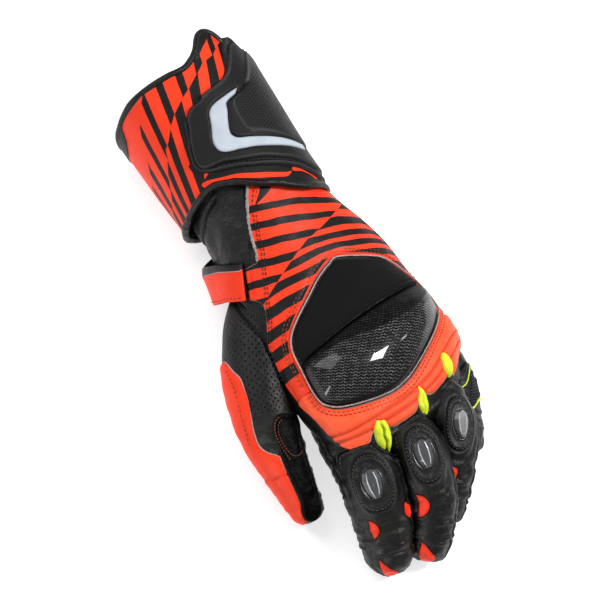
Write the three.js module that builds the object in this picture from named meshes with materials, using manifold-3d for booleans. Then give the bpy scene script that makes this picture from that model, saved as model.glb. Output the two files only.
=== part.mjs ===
// A leather race glove with a long gauntlet cuff, left hand, lying palm down.
// Millimetres. +Z is out of the back of the hand, -Y towards the fingertips, -X towards the thumb.
// Every surface is worked out from the short section tables below.
import * as THREE from "three";
import { mergeVertices } from "three/addons/utils/BufferGeometryUtils.js";
import Module from "manifold-3d";

const wasm = await Module();
wasm.setup();

// Leather, the panels sewn on it, and the gap kept between pieces
const LEATHER = 1.6;
const PANEL = 1.2;
const FABRIC = 1.8;
const GAP = 0.35;
// Exponents of the rounded sections: 2 is an ellipse
const ROUNDNESS = 2.25;
const FINGER_ROUNDNESS = 2.2;
const FLOOR = 0;

// Hard parts and trim
const ARMOR = 2.2;
const ARMOR_RAISED = 4;
const INLAY = 0.9;
const HEM_RADIUS = 2.2;
const RIM_RADIUS = 1.5;
const PIPING_RADIUS = 1.05;
const GUARD_HEIGHT = 9;

// Heights that part the upper half from the lower half, over the cuff, the hand and the thumb
const CUFF_MIDDLE = 39;
const HAND_MIDDLE = 36;
const THUMB_EDGE = 5;
const TOP = 110;
// Seams that part the palm from the back of the hand, in z, and both from the wrist, in y
const PALM_SEAM = 33;
const WRIST_SEAM = -14;

// Facets round each tube, and sections along it
const HAND_SIDES = 24;
const CUFF_SIDES = 24;
const FINGER_SIDES = 12;
const BORE_SIDES = 10;
const TRIM_SIDES = 4;
const HAND_STATIONS = [62, 30, 12, 0, -15, -34, -54, -74, -92, -107, -119, -129, -138];
const CUFF_LEVELS = 4;
const STRAP_STEPS = 17;
// Shares of a fingertip's reach at which its closing rings lie
const TIP_STEPS = [0.5, 0.88];
// How far a cutting solid runs past the open end of what it cuts: in mm, and as a share of the cuff
const RUN_OUT = 5;
const CUFF_RUN_OUT = 0.1;

// The whole part is shifted so that its box is centred over the origin.
const SHIFT = { x: 3, y: 48.5 };

const records = (names, rows) =>
  rows.map((row) => Object.fromEntries(names.map((name, i) => [name, row[i]])));

// Sections of the hand across its length, from the wrist sleeve to the finger roots
const SECTION = ["y", "x", "z", "half", "rise", "drop", "tilt"];
const HAND = records(SECTION, [
  [62, 0, 39, 35.5, 34, 34.5, 0],
  [40, 0.8, 38, 35, 32.5, 32.5, 0],
  [15, 2, 37, 35, 31.5, 31, 0],
  [-5, 3.6, 35.5, 37, 30, 29.5, 1],
  [-25, 6, 34, 43.7, 28.5, 29, 2],
  [-48, 8, 33, 49, 27.5, 28, 3],
  [-72, 10.4, 33, 53, 27, 27, 4],
  [-95, 12.4, 32.5, 54.5, 26.5, 26, 5],
  [-112, 12.8, 32, 53.4, 25, 24, 5],
  [-126, 13, 32, 50.5, 21.5, 19, 5],
  [-138, 13, 33, 44, 15, 12, 5],
]);
// The line of knuckles slants back towards the little finger.
const KNUCKLE_SLANT = { back: 16, from: -95, to: -138, start: -10, end: 48 };

// Sections of the cuff
const CUFF = records(SECTION, [
  [125, -2.5, 41.5, 43.5, 39.5, 43, 0],
  [110, -2.5, 41, 43, 39, 42.6, 0],
  [85, -2.3, 40, 42.2, 38.5, 41.6, 0],
  [55, -1.2, 39, 41, 37, 40.6, 0],
  [25, 0, 38, 39.8, 36, 39.6, 0],
  [0, 1.2, 37.5, 40.4, 35.3, 39.1, 0],
  [-25, 3, 37, 42, 35, 38.6, 0],
]);
// Where the cuff's mouth and lower edge run, by the angle round it from the top
const EDGES = records(["angle", "mouth", "hem"], [
  [-180, 81, 20],
  [-135, 83, 21],
  [-90, 87.5, 21.5],
  [-60, 91, 25],
  [-40, 91.5, 25.5],
  [-20, 91.5, 20.5],
  [-5, 91.5, 13.5],
  [3, 97, 9.5],
  [12, 105.5, 5],
  [22, 104.5, 2],
  [33, 95, 1],
  [46, 89, 0.5],
  [90, 85, 3],
  [135, 82, 12],
  [180, 81, 20],
]);

// Sections along each finger, from its root inside the hand to the tip
const JOINT = ["x", "y", "z", "half", "rise", "drop", "roll"];
const FINGERS = {
  index: records(JOINT, [
    [-22, -100, 29, 14, 12, 13, -8],
    [-24, -126, 30.5, 15.5, 12.5, 13.5, -12],
    [-24.5, -148, 32, 17, 15, 15, -14],
    [-27, -168, 26, 15.2, 14, 14, -14],
    [-29.2, -181, 19.5, 14, 13, 13.5, -12],
    [-30.5, -190, 14, 12, 11.5, 13.5, -10],
  ]),
  middle: records(JOINT, [
    [5, -102, 32, 13, 12.5, 13, 0],
    [6, -130, 35, 13.5, 13, 13.5, -4],
    [6.5, -152, 36, 14.6, 14.5, 14, -8],
    [2.5, -174, 29, 13.9, 13.5, 13.5, -10],
    [-2.5, -187, 20.5, 12.9, 12.5, 13, -10],
    [-7, -195, 14, 11.2, 11.5, 13.7, -8],
  ]),
  ring: records(JOINT, [
    [31, -100, 30, 12.5, 12, 12.5, 4],
    [34.5, -124, 32, 12.8, 12.8, 12.8, 4],
    [34.5, -145, 32, 13.2, 13.6, 13.2, 2],
    [26.5, -163, 25.5, 12.4, 12.8, 12.8, -4],
    [19, -174.5, 18.5, 11.7, 11.8, 12.3, -6],
    [13.5, -182, 13.3, 10.6, 10.8, 13, -6],
  ]),
  little: records(JOINT, [
    [51, -94, 26, 11.5, 11.5, 11.5, 12],
    [55.5, -112, 23, 11.6, 11.8, 11.6, 14],
    [55, -130, 18, 11.4, 11.4, 11.4, 12],
    [50.5, -145, 13.5, 10.8, 10.8, 13, 8],
    [46.5, -155, 11.5, 10, 10, 11.2, 5],
  ]),
  thumb: records(JOINT, [
    [-23, -31, 29, 13, 17, 17, -35],
    [-34, -48, 27, 17.5, 18, 18.5, -35],
    [-46.5, -71, 25, 18.8, 17.5, 18, -35],
    [-54.3, -94, 22, 17.2, 16, 16, -35],
    [-57.3, -116, 19, 14.3, 14, 15, -35],
    [-58, -134, 15.5, 11.2, 12, 14, -35],
    [-57.5, -146, 12.5, 9.2, 9.5, 12.3, -35],
  ]),
};

// Outlines seen from above, in x and y
const BACK_PANEL = [
  [-11, 14], [-14, 10], [-17, 1], [-20, -6], [-22, -12], [-25, -19], [-31, -21], [-38, -35],
  [-33, -42], [-35, -50], [-38, -57], [-40, -66], [-41.5, -78], [-42, -94], [-41, -106],
  [-38, -106], [-38, -101], [-38.3, -90], [-38, -80], [-36.7, -70.5], [-33.5, -65.2],
  [-27.5, -60.3], [-20.6, -55.7], [-12, -50.5], [-1, -42.3], [8, -36.2], [19, -34.8],
  [29, -37.8], [39, -41.2], [46, -44.4], [51, -47.5], [46, -34], [43, -20], [40, -8], [33, 3],
  [27, 12],
];
const KNUCKLE_PIPING = [
  [8.5, -38], [19, -36.8], [28.5, -39.7], [38, -43], [45.3, -46.3], [51.5, -50.5], [57, -55.5],
  [60.5, -63.5], [62.5, -72], [63.3, -81], [62.8, -89], [59, -95.8], [49, -101.8],
  [39, -106.8], [29.5, -111.3], [22, -115], [15.3, -117.4], [9, -119], [3, -119], [-7, -118],
  [-16.5, -116.5], [-24.5, -115], [-30, -112.3], [-34.7, -108], [-36, -100], [-36.4, -90],
  [-36, -80], [-34.8, -71], [-32, -66.6], [-26.5, -61.8], [-19.7, -57.3], [-11, -52],
  [0, -43.8],
];
const KNUCKLE_PANEL = [
  [-28, -77], [-34, -77.5], [-33.2, -72], [-31, -68], [-25.5, -63.6], [-19, -59.2], [-10, -53.5],
  [1, -45.7], [9.3, -39.9], [19, -38.5], [28, -41.3], [37.5, -44.7], [44.6, -48], [50.3, -51.7],
  [55.3, -56.7], [58.7, -64.5], [60.4, -71], [40, -71.5], [16, -73], [-2.5, -75], [-16, -76],
];
const GUARD = [
  [-34.2, -79.5], [-34.5, -90], [-34.1, -99.5], [-33, -107], [-29, -110.5], [-24, -113],
  [-16, -114.5], [-7, -116], [3, -117], [8.7, -117], [14.6, -115.5], [21, -113.2],
  [28.5, -109.5], [38, -105], [48, -100], [57.6, -94.3], [61, -88], [61.4, -81], [60.6, -74],
  [40, -74], [16, -75.5], [-2.5, -77.5], [-16, -78.5], [-28, -79.5],
];
const GUARD_MIDDLE = [14, -94];
// Flex panel: matching points on its upper edge at the guard and on its lower edge at the fingers
const FLEX = records(["guardX", "guardY", "fingerX", "fingerY"], [
  [-38, -110, -39, -121],
  [-31.5, -115.3, -35, -133],
  [-25, -117.3, -28, -138],
  [-17, -118.6, -18, -136],
  [-11, -119.3, -12, -128],
  [-5, -120, -5, -135],
  [6, -121, 8, -137],
  [13, -120, 14, -134],
  [18, -118.5, 20, -125],
  [24, -116.3, 25, -133],
  [32, -112.3, 36, -129],
  [40, -108.5, 41, -126],
  [44, -106.5, 45, -116],
  [50, -103.6, 50, -122],
  [61.5, -97.3, 60, -116],
]);
const FLEX_RIBS = 3;
const FLEX_VALLEY = 1.4;
const FLEX_RIB_HEIGHT = 1.5;
const FLEX_CLEARANCE = 0.95;
const FLEX_MIDDLE = 12;
const FLEX_HALF = 45;
// How deep the panels' solids reach into the hand before they are cut clear of it
const SUNK = 4;

// Strap round the wrist: the middle of it, its width and its height over the leather, by angle
const STRAP_THICK = 1.8;
const STRAP = records(["angle", "y", "width", "over"], [
  [-66, -25, 17, 3.2],
  [-85, -19, 17, 4],
  [-105, -13, 17, 5],
  [-130, -9, 17, 3.5],
  [-155, -9, 17, 1.6],
  [-180, -9, 17, 1],
  [-205, -9, 17, 1],
]);

const ARMOR_FLANGE = [
  [25, 97], [19.5, 87.5], [14.5, 82.5], [8.5, 78.5], [1, 76], [-9.5, 73], [-16.5, 71.5],
  [-21.5, 69], [-25, 63.5], [-26.5, 58], [-29, 48], [-30, 42], [-29.8, 38], [-28, 35.3],
  [-24, 32.7], [-15, 30], [-4, 26.5], [7, 23], [15, 19], [23.5, 15], [27.5, 10], [30, 4],
  [38, 2], [60, 2], [60, 78], [42, 84], [33, 92], [28.5, 98],
];
const ARMOR_PANEL = [
  [28, 90], [25, 82], [20, 77], [12, 73], [4, 70.5], [-6, 68], [-13, 66.5], [-17, 64.5],
  [-19.5, 60], [-21.5, 52], [-23.5, 44], [-23, 40.5], [-20, 38], [-12, 35.5], [-2, 32],
  [8, 28.5], [17, 24], [26, 18.5], [33, 11], [40, 8], [60, 8], [60, 72], [42, 78], [33, 86],
];
const CHEVRON = [
  [12.6, 67.4], [5.8, 67.4], [-3.6, 66.4], [-8, 64.4], [-10.6, 60.5], [-14, 52.5],
  [-15.8, 46], [-15.8, 42], [-13.5, 39.2], [-8, 37.4], [1, 35], [9.5, 32.6], [18.3, 29.4],
  [27.7, 25.8], [34.8, 22.6], [33.3, 27], [27, 30.6], [18, 34.2], [9, 37.4], [0.7, 40.6],
  [-3.6, 42.4], [-4.6, 45.8], [-3.4, 51], [-1, 58], [0.6, 61.8], [3.2, 63.4],
];

// Leaf gussets between the finger roots: middle, half length, half width, height and turn
const GUSSETS = records(["x", "y", "z", "long", "wide", "high", "turn"], [
  [-10.5, -136, 47, 9.5, 4.4, 5.5, 8],
  [20.5, -129.5, 48.3, 9.5, 4.3, 5.5, 12],
  [45, -119, 45.2, 8, 4.2, 5, 20],
]);
// Hard sliders on the finger knuckles: place along the finger, sizes, and turn round it
const SLIDERS = records(["finger", "along", "long", "wide", "high", "turn"], [
  ["index", 2.3, 9.4, 6.6, 4.2, -6],
  ["middle", 2.13, 9.2, 6.4, 4.2, -6],
  ["ring", 2.18, 9, 5.8, 4, 2],
]);

// Outlines on the thumb, seen from above
const THUMB_PATCH = [
  [-59, -55], [-60.5, -64], [-60.5, -70], [-62, -76], [-63.5, -83], [-65.5, -90], [-67.5, -100],
  [-68, -107], [-67, -112.5], [-65, -115.5], [-63.5, -118.5], [-64, -127], [-64.6, -137],
  [-64, -146], [-61.5, -157], [-90, -157], [-90, -55],
];
const THUMB_GRIP = [
  [-44, -97], [-55, -97], [-59, -102], [-61.5, -109], [-62, -118], [-62.6, -127], [-63.2, -137],
  [-62.6, -146], [-60, -157], [-35, -157], [-35, -100],
];

const RED = 0xf4502c;
const BLACK = 0x262626;
const NEON = 0xd8ea35;
const WHITE = 0xdde6f2;
const CARBON = 0x1a1b1d;
const GREY = 0x9a9693;

const radians = THREE.MathUtils.degToRad;
const { clamp, lerp, smoothstep } = THREE.MathUtils;
const power = (value, exponent) => Math.sign(value) * Math.abs(value) ** exponent;

// A smooth value of one column of a table whose rows are keyed by another column
function along(rows, key, at, column) {
  const sorted = [...rows].sort((a, b) => a[key] - b[key]);
  const last = sorted.length - 1;
  const t = clamp(at, sorted[0][key], sorted[last][key]);
  let i = sorted.findIndex((row) => row[key] > t) - 1;
  if (i < 0) i = last - 1;
  const [a, b] = [sorted[i], sorted[i + 1]];
  const slope = (j) => {
    const [p, q] = [sorted[Math.max(j - 1, 0)], sorted[Math.min(j + 1, last)]];
    return (q[column] - p[column]) / (q[key] - p[key]);
  };
  const step = b[key] - a[key];
  const f = (t - a[key]) / step;
  const rest = 1 - f;
  return (
    (1 + 2 * f) * rest * rest * a[column] +
    f * rest * rest * step * slope(i) +
    f * f * (3 - 2 * f) * b[column] -
    f * f * rest * step * slope(i + 1)
  );
}

// A point of the hand or the cuff: y along it, angle from the top, and distance over its surface
function sleevePoint(rows, y, angle, over) {
  const at = (column) => along(rows, "y", y, column);
  const turn = radians(angle);
  const sine = power(Math.sin(turn), 2 / ROUNDNESS);
  const cosine = power(Math.cos(turn), 2 / ROUNDNESS);
  const across = sine * (at("half") + over);
  const height = cosine * ((cosine >= 0 ? at("rise") : at("drop")) + over);
  const tilt = radians(at("tilt"));
  const slant =
    rows === HAND
      ? KNUCKLE_SLANT.back *
        smoothstep(-y, -KNUCKLE_SLANT.from, -KNUCKLE_SLANT.to) *
        clamp((across - KNUCKLE_SLANT.start) / (KNUCKLE_SLANT.end - KNUCKLE_SLANT.start), 0, 1) ** 2
      : 0;
  return new THREE.Vector3(
    at("x") + across * Math.cos(tilt) + height * Math.sin(tilt),
    y + slant,
    at("z") + height * Math.cos(tilt) - across * Math.sin(tilt),
  );
}

// The point over x and y on the upper half of the hand or cuff
function onTop(rows, x, y, over) {
  let section = y;
  let angle = 0;
  for (let round = 0; round < 4; round += 1) {
    let [low, high] = [-100, 100];
    for (let i = 0; i < 24; i += 1) {
      angle = (low + high) / 2;
      if (sleevePoint(rows, section, angle, over).x < x) low = angle;
      else high = angle;
    }
    section += y - sleevePoint(rows, section, angle, over).y;
  }
  return sleevePoint(rows, section, angle, over);
}

// A smooth point of a finger's middle line and its section there
function jointAt(rows, t) {
  const last = rows.length - 1;
  const i = Math.min(Math.floor(t), last - 1);
  const f = t - i;
  const pick = (j, column) => {
    if (j < 0) return 2 * rows[0][column] - rows[1][column];
    if (j > last) return 2 * rows[last][column] - rows[last - 1][column];
    return rows[j][column];
  };
  const value = {};
  for (const column of JOINT) {
    const [a, b, c, d] = [-1, 0, 1, 2].map((k) => pick(i + k, column));
    value[column] =
      0.5 *
      (2 * b + (c - a) * f + (2 * a - 5 * b + 4 * c - d) * f * f + (3 * b - a - 3 * c + d) * f ** 3);
  }
  return value;
}

// The finger's own axes at a place along it
function fingerFrame(rows, t) {
  const last = rows.length - 1;
  const near = (at) => jointAt(rows, clamp(at, 0, last));
  const [before, after] = [near(t - 0.01), near(t + 0.01)];
  const forward = new THREE.Vector3(after.x - before.x, after.y - before.y, after.z - before.z);
  forward.normalize();
  const section = jointAt(rows, clamp(t, 0, last));
  const roll = radians(section.roll);
  const side = new THREE.Vector3(Math.sin(roll), 0, Math.cos(roll)).cross(forward).normalize();
  const up = new THREE.Vector3().crossVectors(forward, side);
  return { section, forward, side, up, middle: new THREE.Vector3(section.x, section.y, section.z) };
}

// A point of a finger, by place along it and angle from its top
function fingerPoint(rows, t, angle, over, scale = 1, ahead = 0) {
  const { section, forward, side, up, middle } = fingerFrame(rows, t);
  const turn = radians(angle);
  const sine = power(Math.sin(turn), 2 / FINGER_ROUNDNESS);
  const cosine = power(Math.cos(turn), 2 / FINGER_ROUNDNESS);
  const height = cosine * ((cosine >= 0 ? section.rise : section.drop) + over) * scale;
  return middle
    .addScaledVector(side, sine * (section.half + over) * scale)
    .addScaledVector(up, height)
    .addScaledVector(forward, ahead);
}

// Solid from rings of points, closed with a fan at each end
function solidFromRings(rings) {
  const sides = rings[0].length;
  const points = rings.flat();
  const faces = [];
  for (let i = 0; i < rings.length - 1; i += 1) {
    for (let j = 0; j < sides; j += 1) {
      const [a, b] = [i * sides + j, i * sides + ((j + 1) % sides)];
      faces.push(a, b, a + sides, b, b + sides, a + sides);
    }
  }
  [0, rings.length - 1].forEach((ring, end) => {
    const middle = new THREE.Vector3();
    rings[ring].forEach((point) => middle.addScaledVector(point, 1 / sides));
    const centre = points.push(middle) - 1;
    for (let j = 0; j < sides; j += 1) {
      const [a, b] = [ring * sides + j, ring * sides + ((j + 1) % sides)];
      faces.push(...(end ? [a, b, centre] : [b, a, centre]));
    }
  });
  return solidFromFaces(points, faces);
}

// Solid from points and triangles, turned so that its faces point out
function solidFromFaces(points, faces) {
  const position = new Float32Array(points.flatMap((point) => point.toArray()));
  const geometry = new THREE.BufferGeometry();
  geometry.setAttribute("position", new THREE.BufferAttribute(position, 3));
  const solid = solidFromGeometry(geometry.setIndex([...faces]));
  return solid.volume() < 0 ? solidFromGeometry(geometry.setIndex([...faces].reverse())) : solid;
}

function solidFromGeometry(geometry) {
  const bare = geometry.index ? geometry.toNonIndexed() : geometry;
  bare.deleteAttribute("normal");
  bare.deleteAttribute("uv");
  const merged = mergeVertices(bare, 1e-4);
  return new wasm.Manifold(
    new wasm.Mesh({
      numProp: 3,
      vertProperties: merged.attributes.position.array,
      triVerts: new Uint32Array(merged.index.array),
    }),
  );
}

const range = (count) => Array.from({ length: count }, (unused, i) => i);
const spread = (from, to, count) => range(count).map((i) => from + ((to - from) * i) / (count - 1));
const aboveFloor = (point, over) => point.setZ(Math.max(point.z, FLOOR - over));

// Closed solids of the outer shapes, swollen or shrunk by a distance
function handSolid(over, opened = 0) {
  const rings = HAND_STATIONS.map((y, i) => {
    const shift = i === 0 ? opened : i === HAND_STATIONS.length - 1 ? -over : 0;
    return range(HAND_SIDES).map((j) => {
      const point = sleevePoint(HAND, y, (360 * (j + 0.5)) / HAND_SIDES, over);
      return point.setY(point.y + shift);
    });
  });
  return solidFromRings(rings);
}

const mouthAt = (angle) => along(EDGES, "angle", ((angle + 540) % 360) - 180, "mouth");
const hemAt = (angle) => along(EDGES, "angle", ((angle + 540) % 360) - 180, "hem");
function cuffSolid(over, beyond = 0) {
  const levels = spread(0, 1, CUFF_LEVELS);
  if (beyond) {
    levels.unshift(-beyond);
    levels.push(1 + beyond);
  }
  const rings = levels.map((level) =>
    range(CUFF_SIDES).map((j) => {
      const angle = (360 * (j + 0.5)) / CUFF_SIDES - 180;
      const y = lerp(hemAt(angle), mouthAt(angle), level);
      return aboveFloor(sleevePoint(CUFF, y, angle, over), over);
    }),
  );
  return solidFromRings(rings);
}

function fingerSolid(rows, over, sides = FINGER_SIDES) {
  const last = rows.length - 1;
  const reach = rows[last].half + over;
  const ring = (t, scale, ahead) =>
    range(sides).map((j) => {
      const angle = (360 * (j + 0.5)) / sides;
      return aboveFloor(fingerPoint(rows, t, angle, over, scale, ahead), over);
    });
  return solidFromRings([
    ...spread(0, last, Math.round(1.25 * last) + 1).map((t) => ring(t, 1, 0)),
    ...TIP_STEPS.map((share) => ring(last, Math.sqrt(1 - share * share), share * reach)),
  ]);
}

// A tall column over an outline given in x and y
function column(outline, low, high) {
  const shape = new THREE.Shape(outline.map(([x, y]) => new THREE.Vector2(x, y)));
  const geometry = new THREE.ExtrudeGeometry(shape, { depth: high - low, bevelEnabled: false });
  geometry.translate(0, 0, low);
  return solidFromGeometry(geometry);
}

// A layer of the hand or cuff between two heights over its surface, inside an outline
const layer = (outer, inner, outline, low) => outer.subtract(inner).intersect(column(outline, low, TOP));

// A low dome over an outline, its rings drawn in towards a middle point
function dome(outline, middle, rise, sunk) {
  const rings = [outline.map(([x, y]) => onTop(HAND, x, y, -sunk))];
  [1, 0.93, 0.8, 0.6, 0.35].forEach((share) => {
    const height = rise * (1 - share ** 3.2);
    rings.push(
      outline.map(([x, y]) => {
        const [px, py] = [middle[0] + (x - middle[0]) * share, middle[1] + (y - middle[1]) * share];
        return onTop(HAND, px, py, PANEL + height);
      }),
    );
  });
  return solidFromRings(rings);
}

// The ribbed panel between the guard and the fingers, grown by a distance where it cuts others
function flexPanel(grow) {
  const line = ({ guardX, guardY, fingerX, fingerY }, over) =>
    range(2 * FLEX_RIBS + 1).map((k) => {
      const share = k / (2 * FLEX_RIBS);
      const x = lerp(guardX, fingerX, share);
      const y = lerp(guardY + grow, fingerY - grow, share);
      return onTop(HAND, x + (grow * (x - FLEX_MIDDLE)) / FLEX_HALF, y, over(k));
    });
  const ribbed = (k) => FLEX_VALLEY + FLEX_RIB_HEIGHT * (k % 2) + grow;
  return solidFromSheets(
    FLEX.map((row) => line(row, ribbed)),
    FLEX.map((row) => line(row, () => -SUNK)),
  );
}

// Solid between two sheets of matching points
function solidFromSheets(top, bottom) {
  const [rows, columns] = [top.length, top[0].length];
  const points = [...top.flat(), ...bottom.flat()];
  const half = rows * columns;
  const faces = [];
  const quad = (a, b, c, d) => faces.push(a, b, c, a, c, d);
  for (let i = 0; i < rows - 1; i += 1) {
    for (let j = 0; j < columns - 1; j += 1) {
      const [a, d] = [i * columns + j, (i + 1) * columns + j];
      const [b, c] = [a + 1, d + 1];
      quad(a, b, c, d);
      quad(half + d, half + c, half + b, half + a);
    }
  }
  for (let i = 0; i < rows - 1; i += 1) {
    const [a, b] = [i * columns, (i + 1) * columns];
    quad(a, b, half + b, half + a);
    quad(half + a + columns - 1, half + b + columns - 1, b + columns - 1, a + columns - 1);
  }
  for (let j = 0; j < columns - 1; j += 1) {
    const last = (rows - 1) * columns + j;
    quad(half + j, half + j + 1, j + 1, j);
    quad(last, last + 1, half + last + 1, half + last);
  }
  return solidFromFaces(points, faces);
}

// A band that goes round the wrist, from the strap table
function strapSolid() {
  const sheet = (extra) =>
    spread(STRAP[0].angle, STRAP[STRAP.length - 1].angle, STRAP_STEPS).map((angle) => {
      const at = (column) => along(STRAP, "angle", angle, column);
      return [-0.5, 0.5].map((side) =>
        sleevePoint(HAND, at("y") + side * at("width"), angle, at("over") + extra),
      );
    });
  return solidFromSheets(sheet(STRAP_THICK), sheet(0));
}

// A rope with a polygon section that follows a closed line
function rope(points, radius, steps, sides) {
  const path = new THREE.CatmullRomCurve3(points, true, "centripetal");
  const frames = path.computeFrenetFrames(steps, true);
  const rings = range(steps).map((i) =>
    range(sides).map((j) => {
      const turn = (2 * Math.PI * (j + 0.5)) / sides;
      return path
        .getPointAt(i / steps)
        .addScaledVector(frames.normals[i], radius * Math.cos(turn))
        .addScaledVector(frames.binormals[i], radius * Math.sin(turn));
    }),
  );
  const faces = [];
  range(steps).forEach((i) => {
    const next = (i + 1) % steps;
    range(sides).forEach((j) => {
      const [a, b] = [i * sides + j, i * sides + ((j + 1) % sides)];
      const [c, d] = [next * sides + j, next * sides + ((j + 1) % sides)];
      faces.push(a, b, c, b, d, c);
    });
  });
  return solidFromFaces(rings.flat(), faces);
}

// A half ellipsoid pod, long, wide and high, set in a frame
const POD_SIDES = 10;
const POD_LEVELS = [-0.6, 0, 0.5, 0.82, 0.97];
function pod({ long, wide, high }, frame) {
  const rings = POD_LEVELS.map((level) => {
    const shrink = level <= 0 ? 1 : Math.sqrt(1 - level * level);
    return range(POD_SIDES).map((j) => {
      const turn = (2 * Math.PI * (j + 0.5)) / POD_SIDES;
      return frame.middle
        .clone()
        .addScaledVector(frame.forward, long * shrink * Math.cos(turn))
        .addScaledVector(frame.side, wide * shrink * Math.sin(turn))
        .addScaledVector(frame.up, high * level);
    });
  });
  return solidFromRings(rings);
}

// The part: one named mesh for each piece
const glove = new THREE.Group();
const whole = new THREE.Group();
whole.add(glove);
glove.position.set(SHIFT.x, SHIFT.y, 0);

function add(name, solid, colour, roughness = 0.6) {
  const { vertProperties, triVerts } = largest(solid).getMesh();
  const geometry = new THREE.BufferGeometry()
    .setAttribute("position", new THREE.BufferAttribute(vertProperties, 3))
    .setIndex(new THREE.BufferAttribute(triVerts, 1));
  geometry.computeVertexNormals();
  const mesh = new THREE.Mesh(geometry, new THREE.MeshStandardMaterial({ color: colour, roughness }));
  mesh.name = name;
  glove.add(mesh);
}

// Only the largest body of a cut solid is kept.
const largest = (solid) =>
  solid.decompose().reduce((best, body) => (body.volume() > best.volume() ? body : best));

const handClear = handSolid(GAP);
const flexCutter = flexPanel(FLEX_CLEARANCE);
const fingersAt = (over, sides) =>
  Object.fromEntries(Object.keys(FINGERS).map((name) => [name, fingerSolid(FINGERS[name], over, sides)]));
const fingerClear = fingersAt(GAP);
const fingerBore = fingersAt(-LEATHER, BORE_SIDES);

// Hand, open at the wrist and at each finger's root, in three pieces: the wrist, the palm and the back
const hollowHand = handSolid(0).subtract(handSolid(-LEATHER, RUN_OUT));
const hand = Object.values(fingerBore).reduce((shell, bore) => shell.subtract(bore), hollowHand);
const band = (fromY, toY) => [[-TOP, fromY], [TOP, fromY], [TOP, toY], [-TOP, toY]];
add("wrist_sleeve", hand.intersect(column(band(WRIST_SEAM + GAP, TOP), -TOP, TOP)), BLACK);
add("palm", hand.intersect(column(band(-2 * TOP, WRIST_SEAM), -TOP, PALM_SEAM)), BLACK);
add("hand_back", hand.intersect(column(band(-2 * TOP, WRIST_SEAM), PALM_SEAM + GAP, TOP)), BLACK);

// Fingers, each hollow, open at its root and clear of those made before it
const FINGER_ORDER = ["middle", "index", "ring", "little", "thumb"];
FINGER_ORDER.forEach((name, i) => {
  let shell = fingerSolid(FINGERS[name], 0).subtract(handClear).subtract(flexCutter);
  let bore = fingerBore[name];
  FINGER_ORDER.slice(0, i).forEach((other) => {
    shell = shell.subtract(fingerClear[other]);
    bore = bore.subtract(fingerSolid(FINGERS[other], GAP + LEATHER));
  });
  add(name === "thumb" ? "thumb" : "finger_" + name, shell.subtract(bore), BLACK);
});

// Cuff, its padded lower edge and the binding round its mouth
add("cuff", cuffSolid(0).subtract(cuffSolid(-LEATHER, CUFF_RUN_OUT)), RED);
const cuffEnds = cuffSolid(GAP, 0.004);
function cuffTrim(name, edge, radius, side, lift, steps, sides) {
  const line = spread(-180, 170, 36).map((angle) => {
    const y = edge(angle) + side * (radius + GAP);
    return aboveFloor(sleevePoint(CUFF, y, angle, lift), -radius);
  });
  add(name, rope(line, radius, steps, sides).subtract(cuffEnds), BLACK);
}
cuffTrim("cuff_edge_piping", hemAt, HEM_RADIUS, -1, 0.3, 36, TRIM_SIDES + 1);
cuffTrim("cuff_rim_binding", mouthAt, RIM_RADIUS, 1, -0.8, 40, TRIM_SIDES);

// Armour plate with its raised middle, and the white inlay
const cuffClear = cuffSolid(GAP, CUFF_RUN_OUT);
const armorClear = cuffSolid(ARMOR_RAISED + GAP, CUFF_RUN_OUT);
const flange = layer(cuffSolid(ARMOR), cuffClear, ARMOR_FLANGE, CUFF_MIDDLE);
const raised = layer(cuffSolid(ARMOR_RAISED), cuffClear, ARMOR_PANEL, CUFF_MIDDLE);
const inlay = layer(cuffSolid(ARMOR_RAISED + GAP + INLAY), armorClear, CHEVRON, CUFF_MIDDLE);
add("cuff_armor", flange.add(raised), BLACK, 0.45);
add("chevron_inlay", inlay, WHITE, 0.35);

// Panels on the back of the hand
const handLayer = (thick, outline) => layer(handSolid(GAP + thick), handClear, outline, HAND_MIDDLE);
const pipingLine = KNUCKLE_PIPING.map(([x, y]) => onTop(HAND, x, y, GAP + PIPING_RADIUS + 0.5));
add("back_panel", handLayer(PANEL, BACK_PANEL), RED);
add("knuckle_panel", handLayer(FABRIC, KNUCKLE_PANEL), BLACK, 0.9);
add("knuckle_guard", dome(GUARD, GUARD_MIDDLE, GUARD_HEIGHT, SUNK).subtract(handClear), CARBON, 0.2);
add("knuckle_piping", rope(pipingLine, PIPING_RADIUS, 40, TRIM_SIDES), GREY);
add("flex_panel", flexPanel(0).subtract(handClear), RED);
add("wrist_strap", strapSolid(), RED);

// Leather patches on the thumb
const thumbPatched = fingerSolid(FINGERS.thumb, GAP + PANEL);
const thumbLayer = (outline) =>
  layer(thumbPatched, fingerClear.thumb, outline, THUMB_EDGE).subtract(handClear);
add("thumb_patch", thumbLayer(THUMB_PATCH), RED);
add("thumb_grip", thumbLayer(THUMB_GRIP), BLACK);

// Gussets lean forward and down between the fingers.
const GUSSET_LEAN = 0.5;
GUSSETS.forEach((gusset, i) => {
  const turn = radians(gusset.turn);
  const frame = {
    middle: new THREE.Vector3(gusset.x, gusset.y, gusset.z),
    forward: new THREE.Vector3(-Math.sin(turn), -Math.cos(turn), -GUSSET_LEAN).normalize(),
    side: new THREE.Vector3(Math.cos(turn), -Math.sin(turn), 0),
    up: new THREE.Vector3(0, -GUSSET_LEAN, 1).normalize(),
  };
  const leaf = pod(gusset, frame).subtract(handClear).subtract(flexCutter);
  const cut = Object.values(fingerClear).reduce((rest, finger) => rest.subtract(finger), leaf);
  add("gusset_" + (i + 1), cut, NEON);
});
SLIDERS.forEach((slider) => {
  const rows = FINGERS[slider.finger];
  const frame = fingerFrame(rows, slider.along);
  frame.middle = fingerPoint(rows, slider.along, slider.turn, GAP);
  const seated = pod(slider, frame).subtract(fingerClear[slider.finger]).subtract(handClear);
  add("slider_" + slider.finger, seated, CARBON, 0.2);
});

export default whole;
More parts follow.
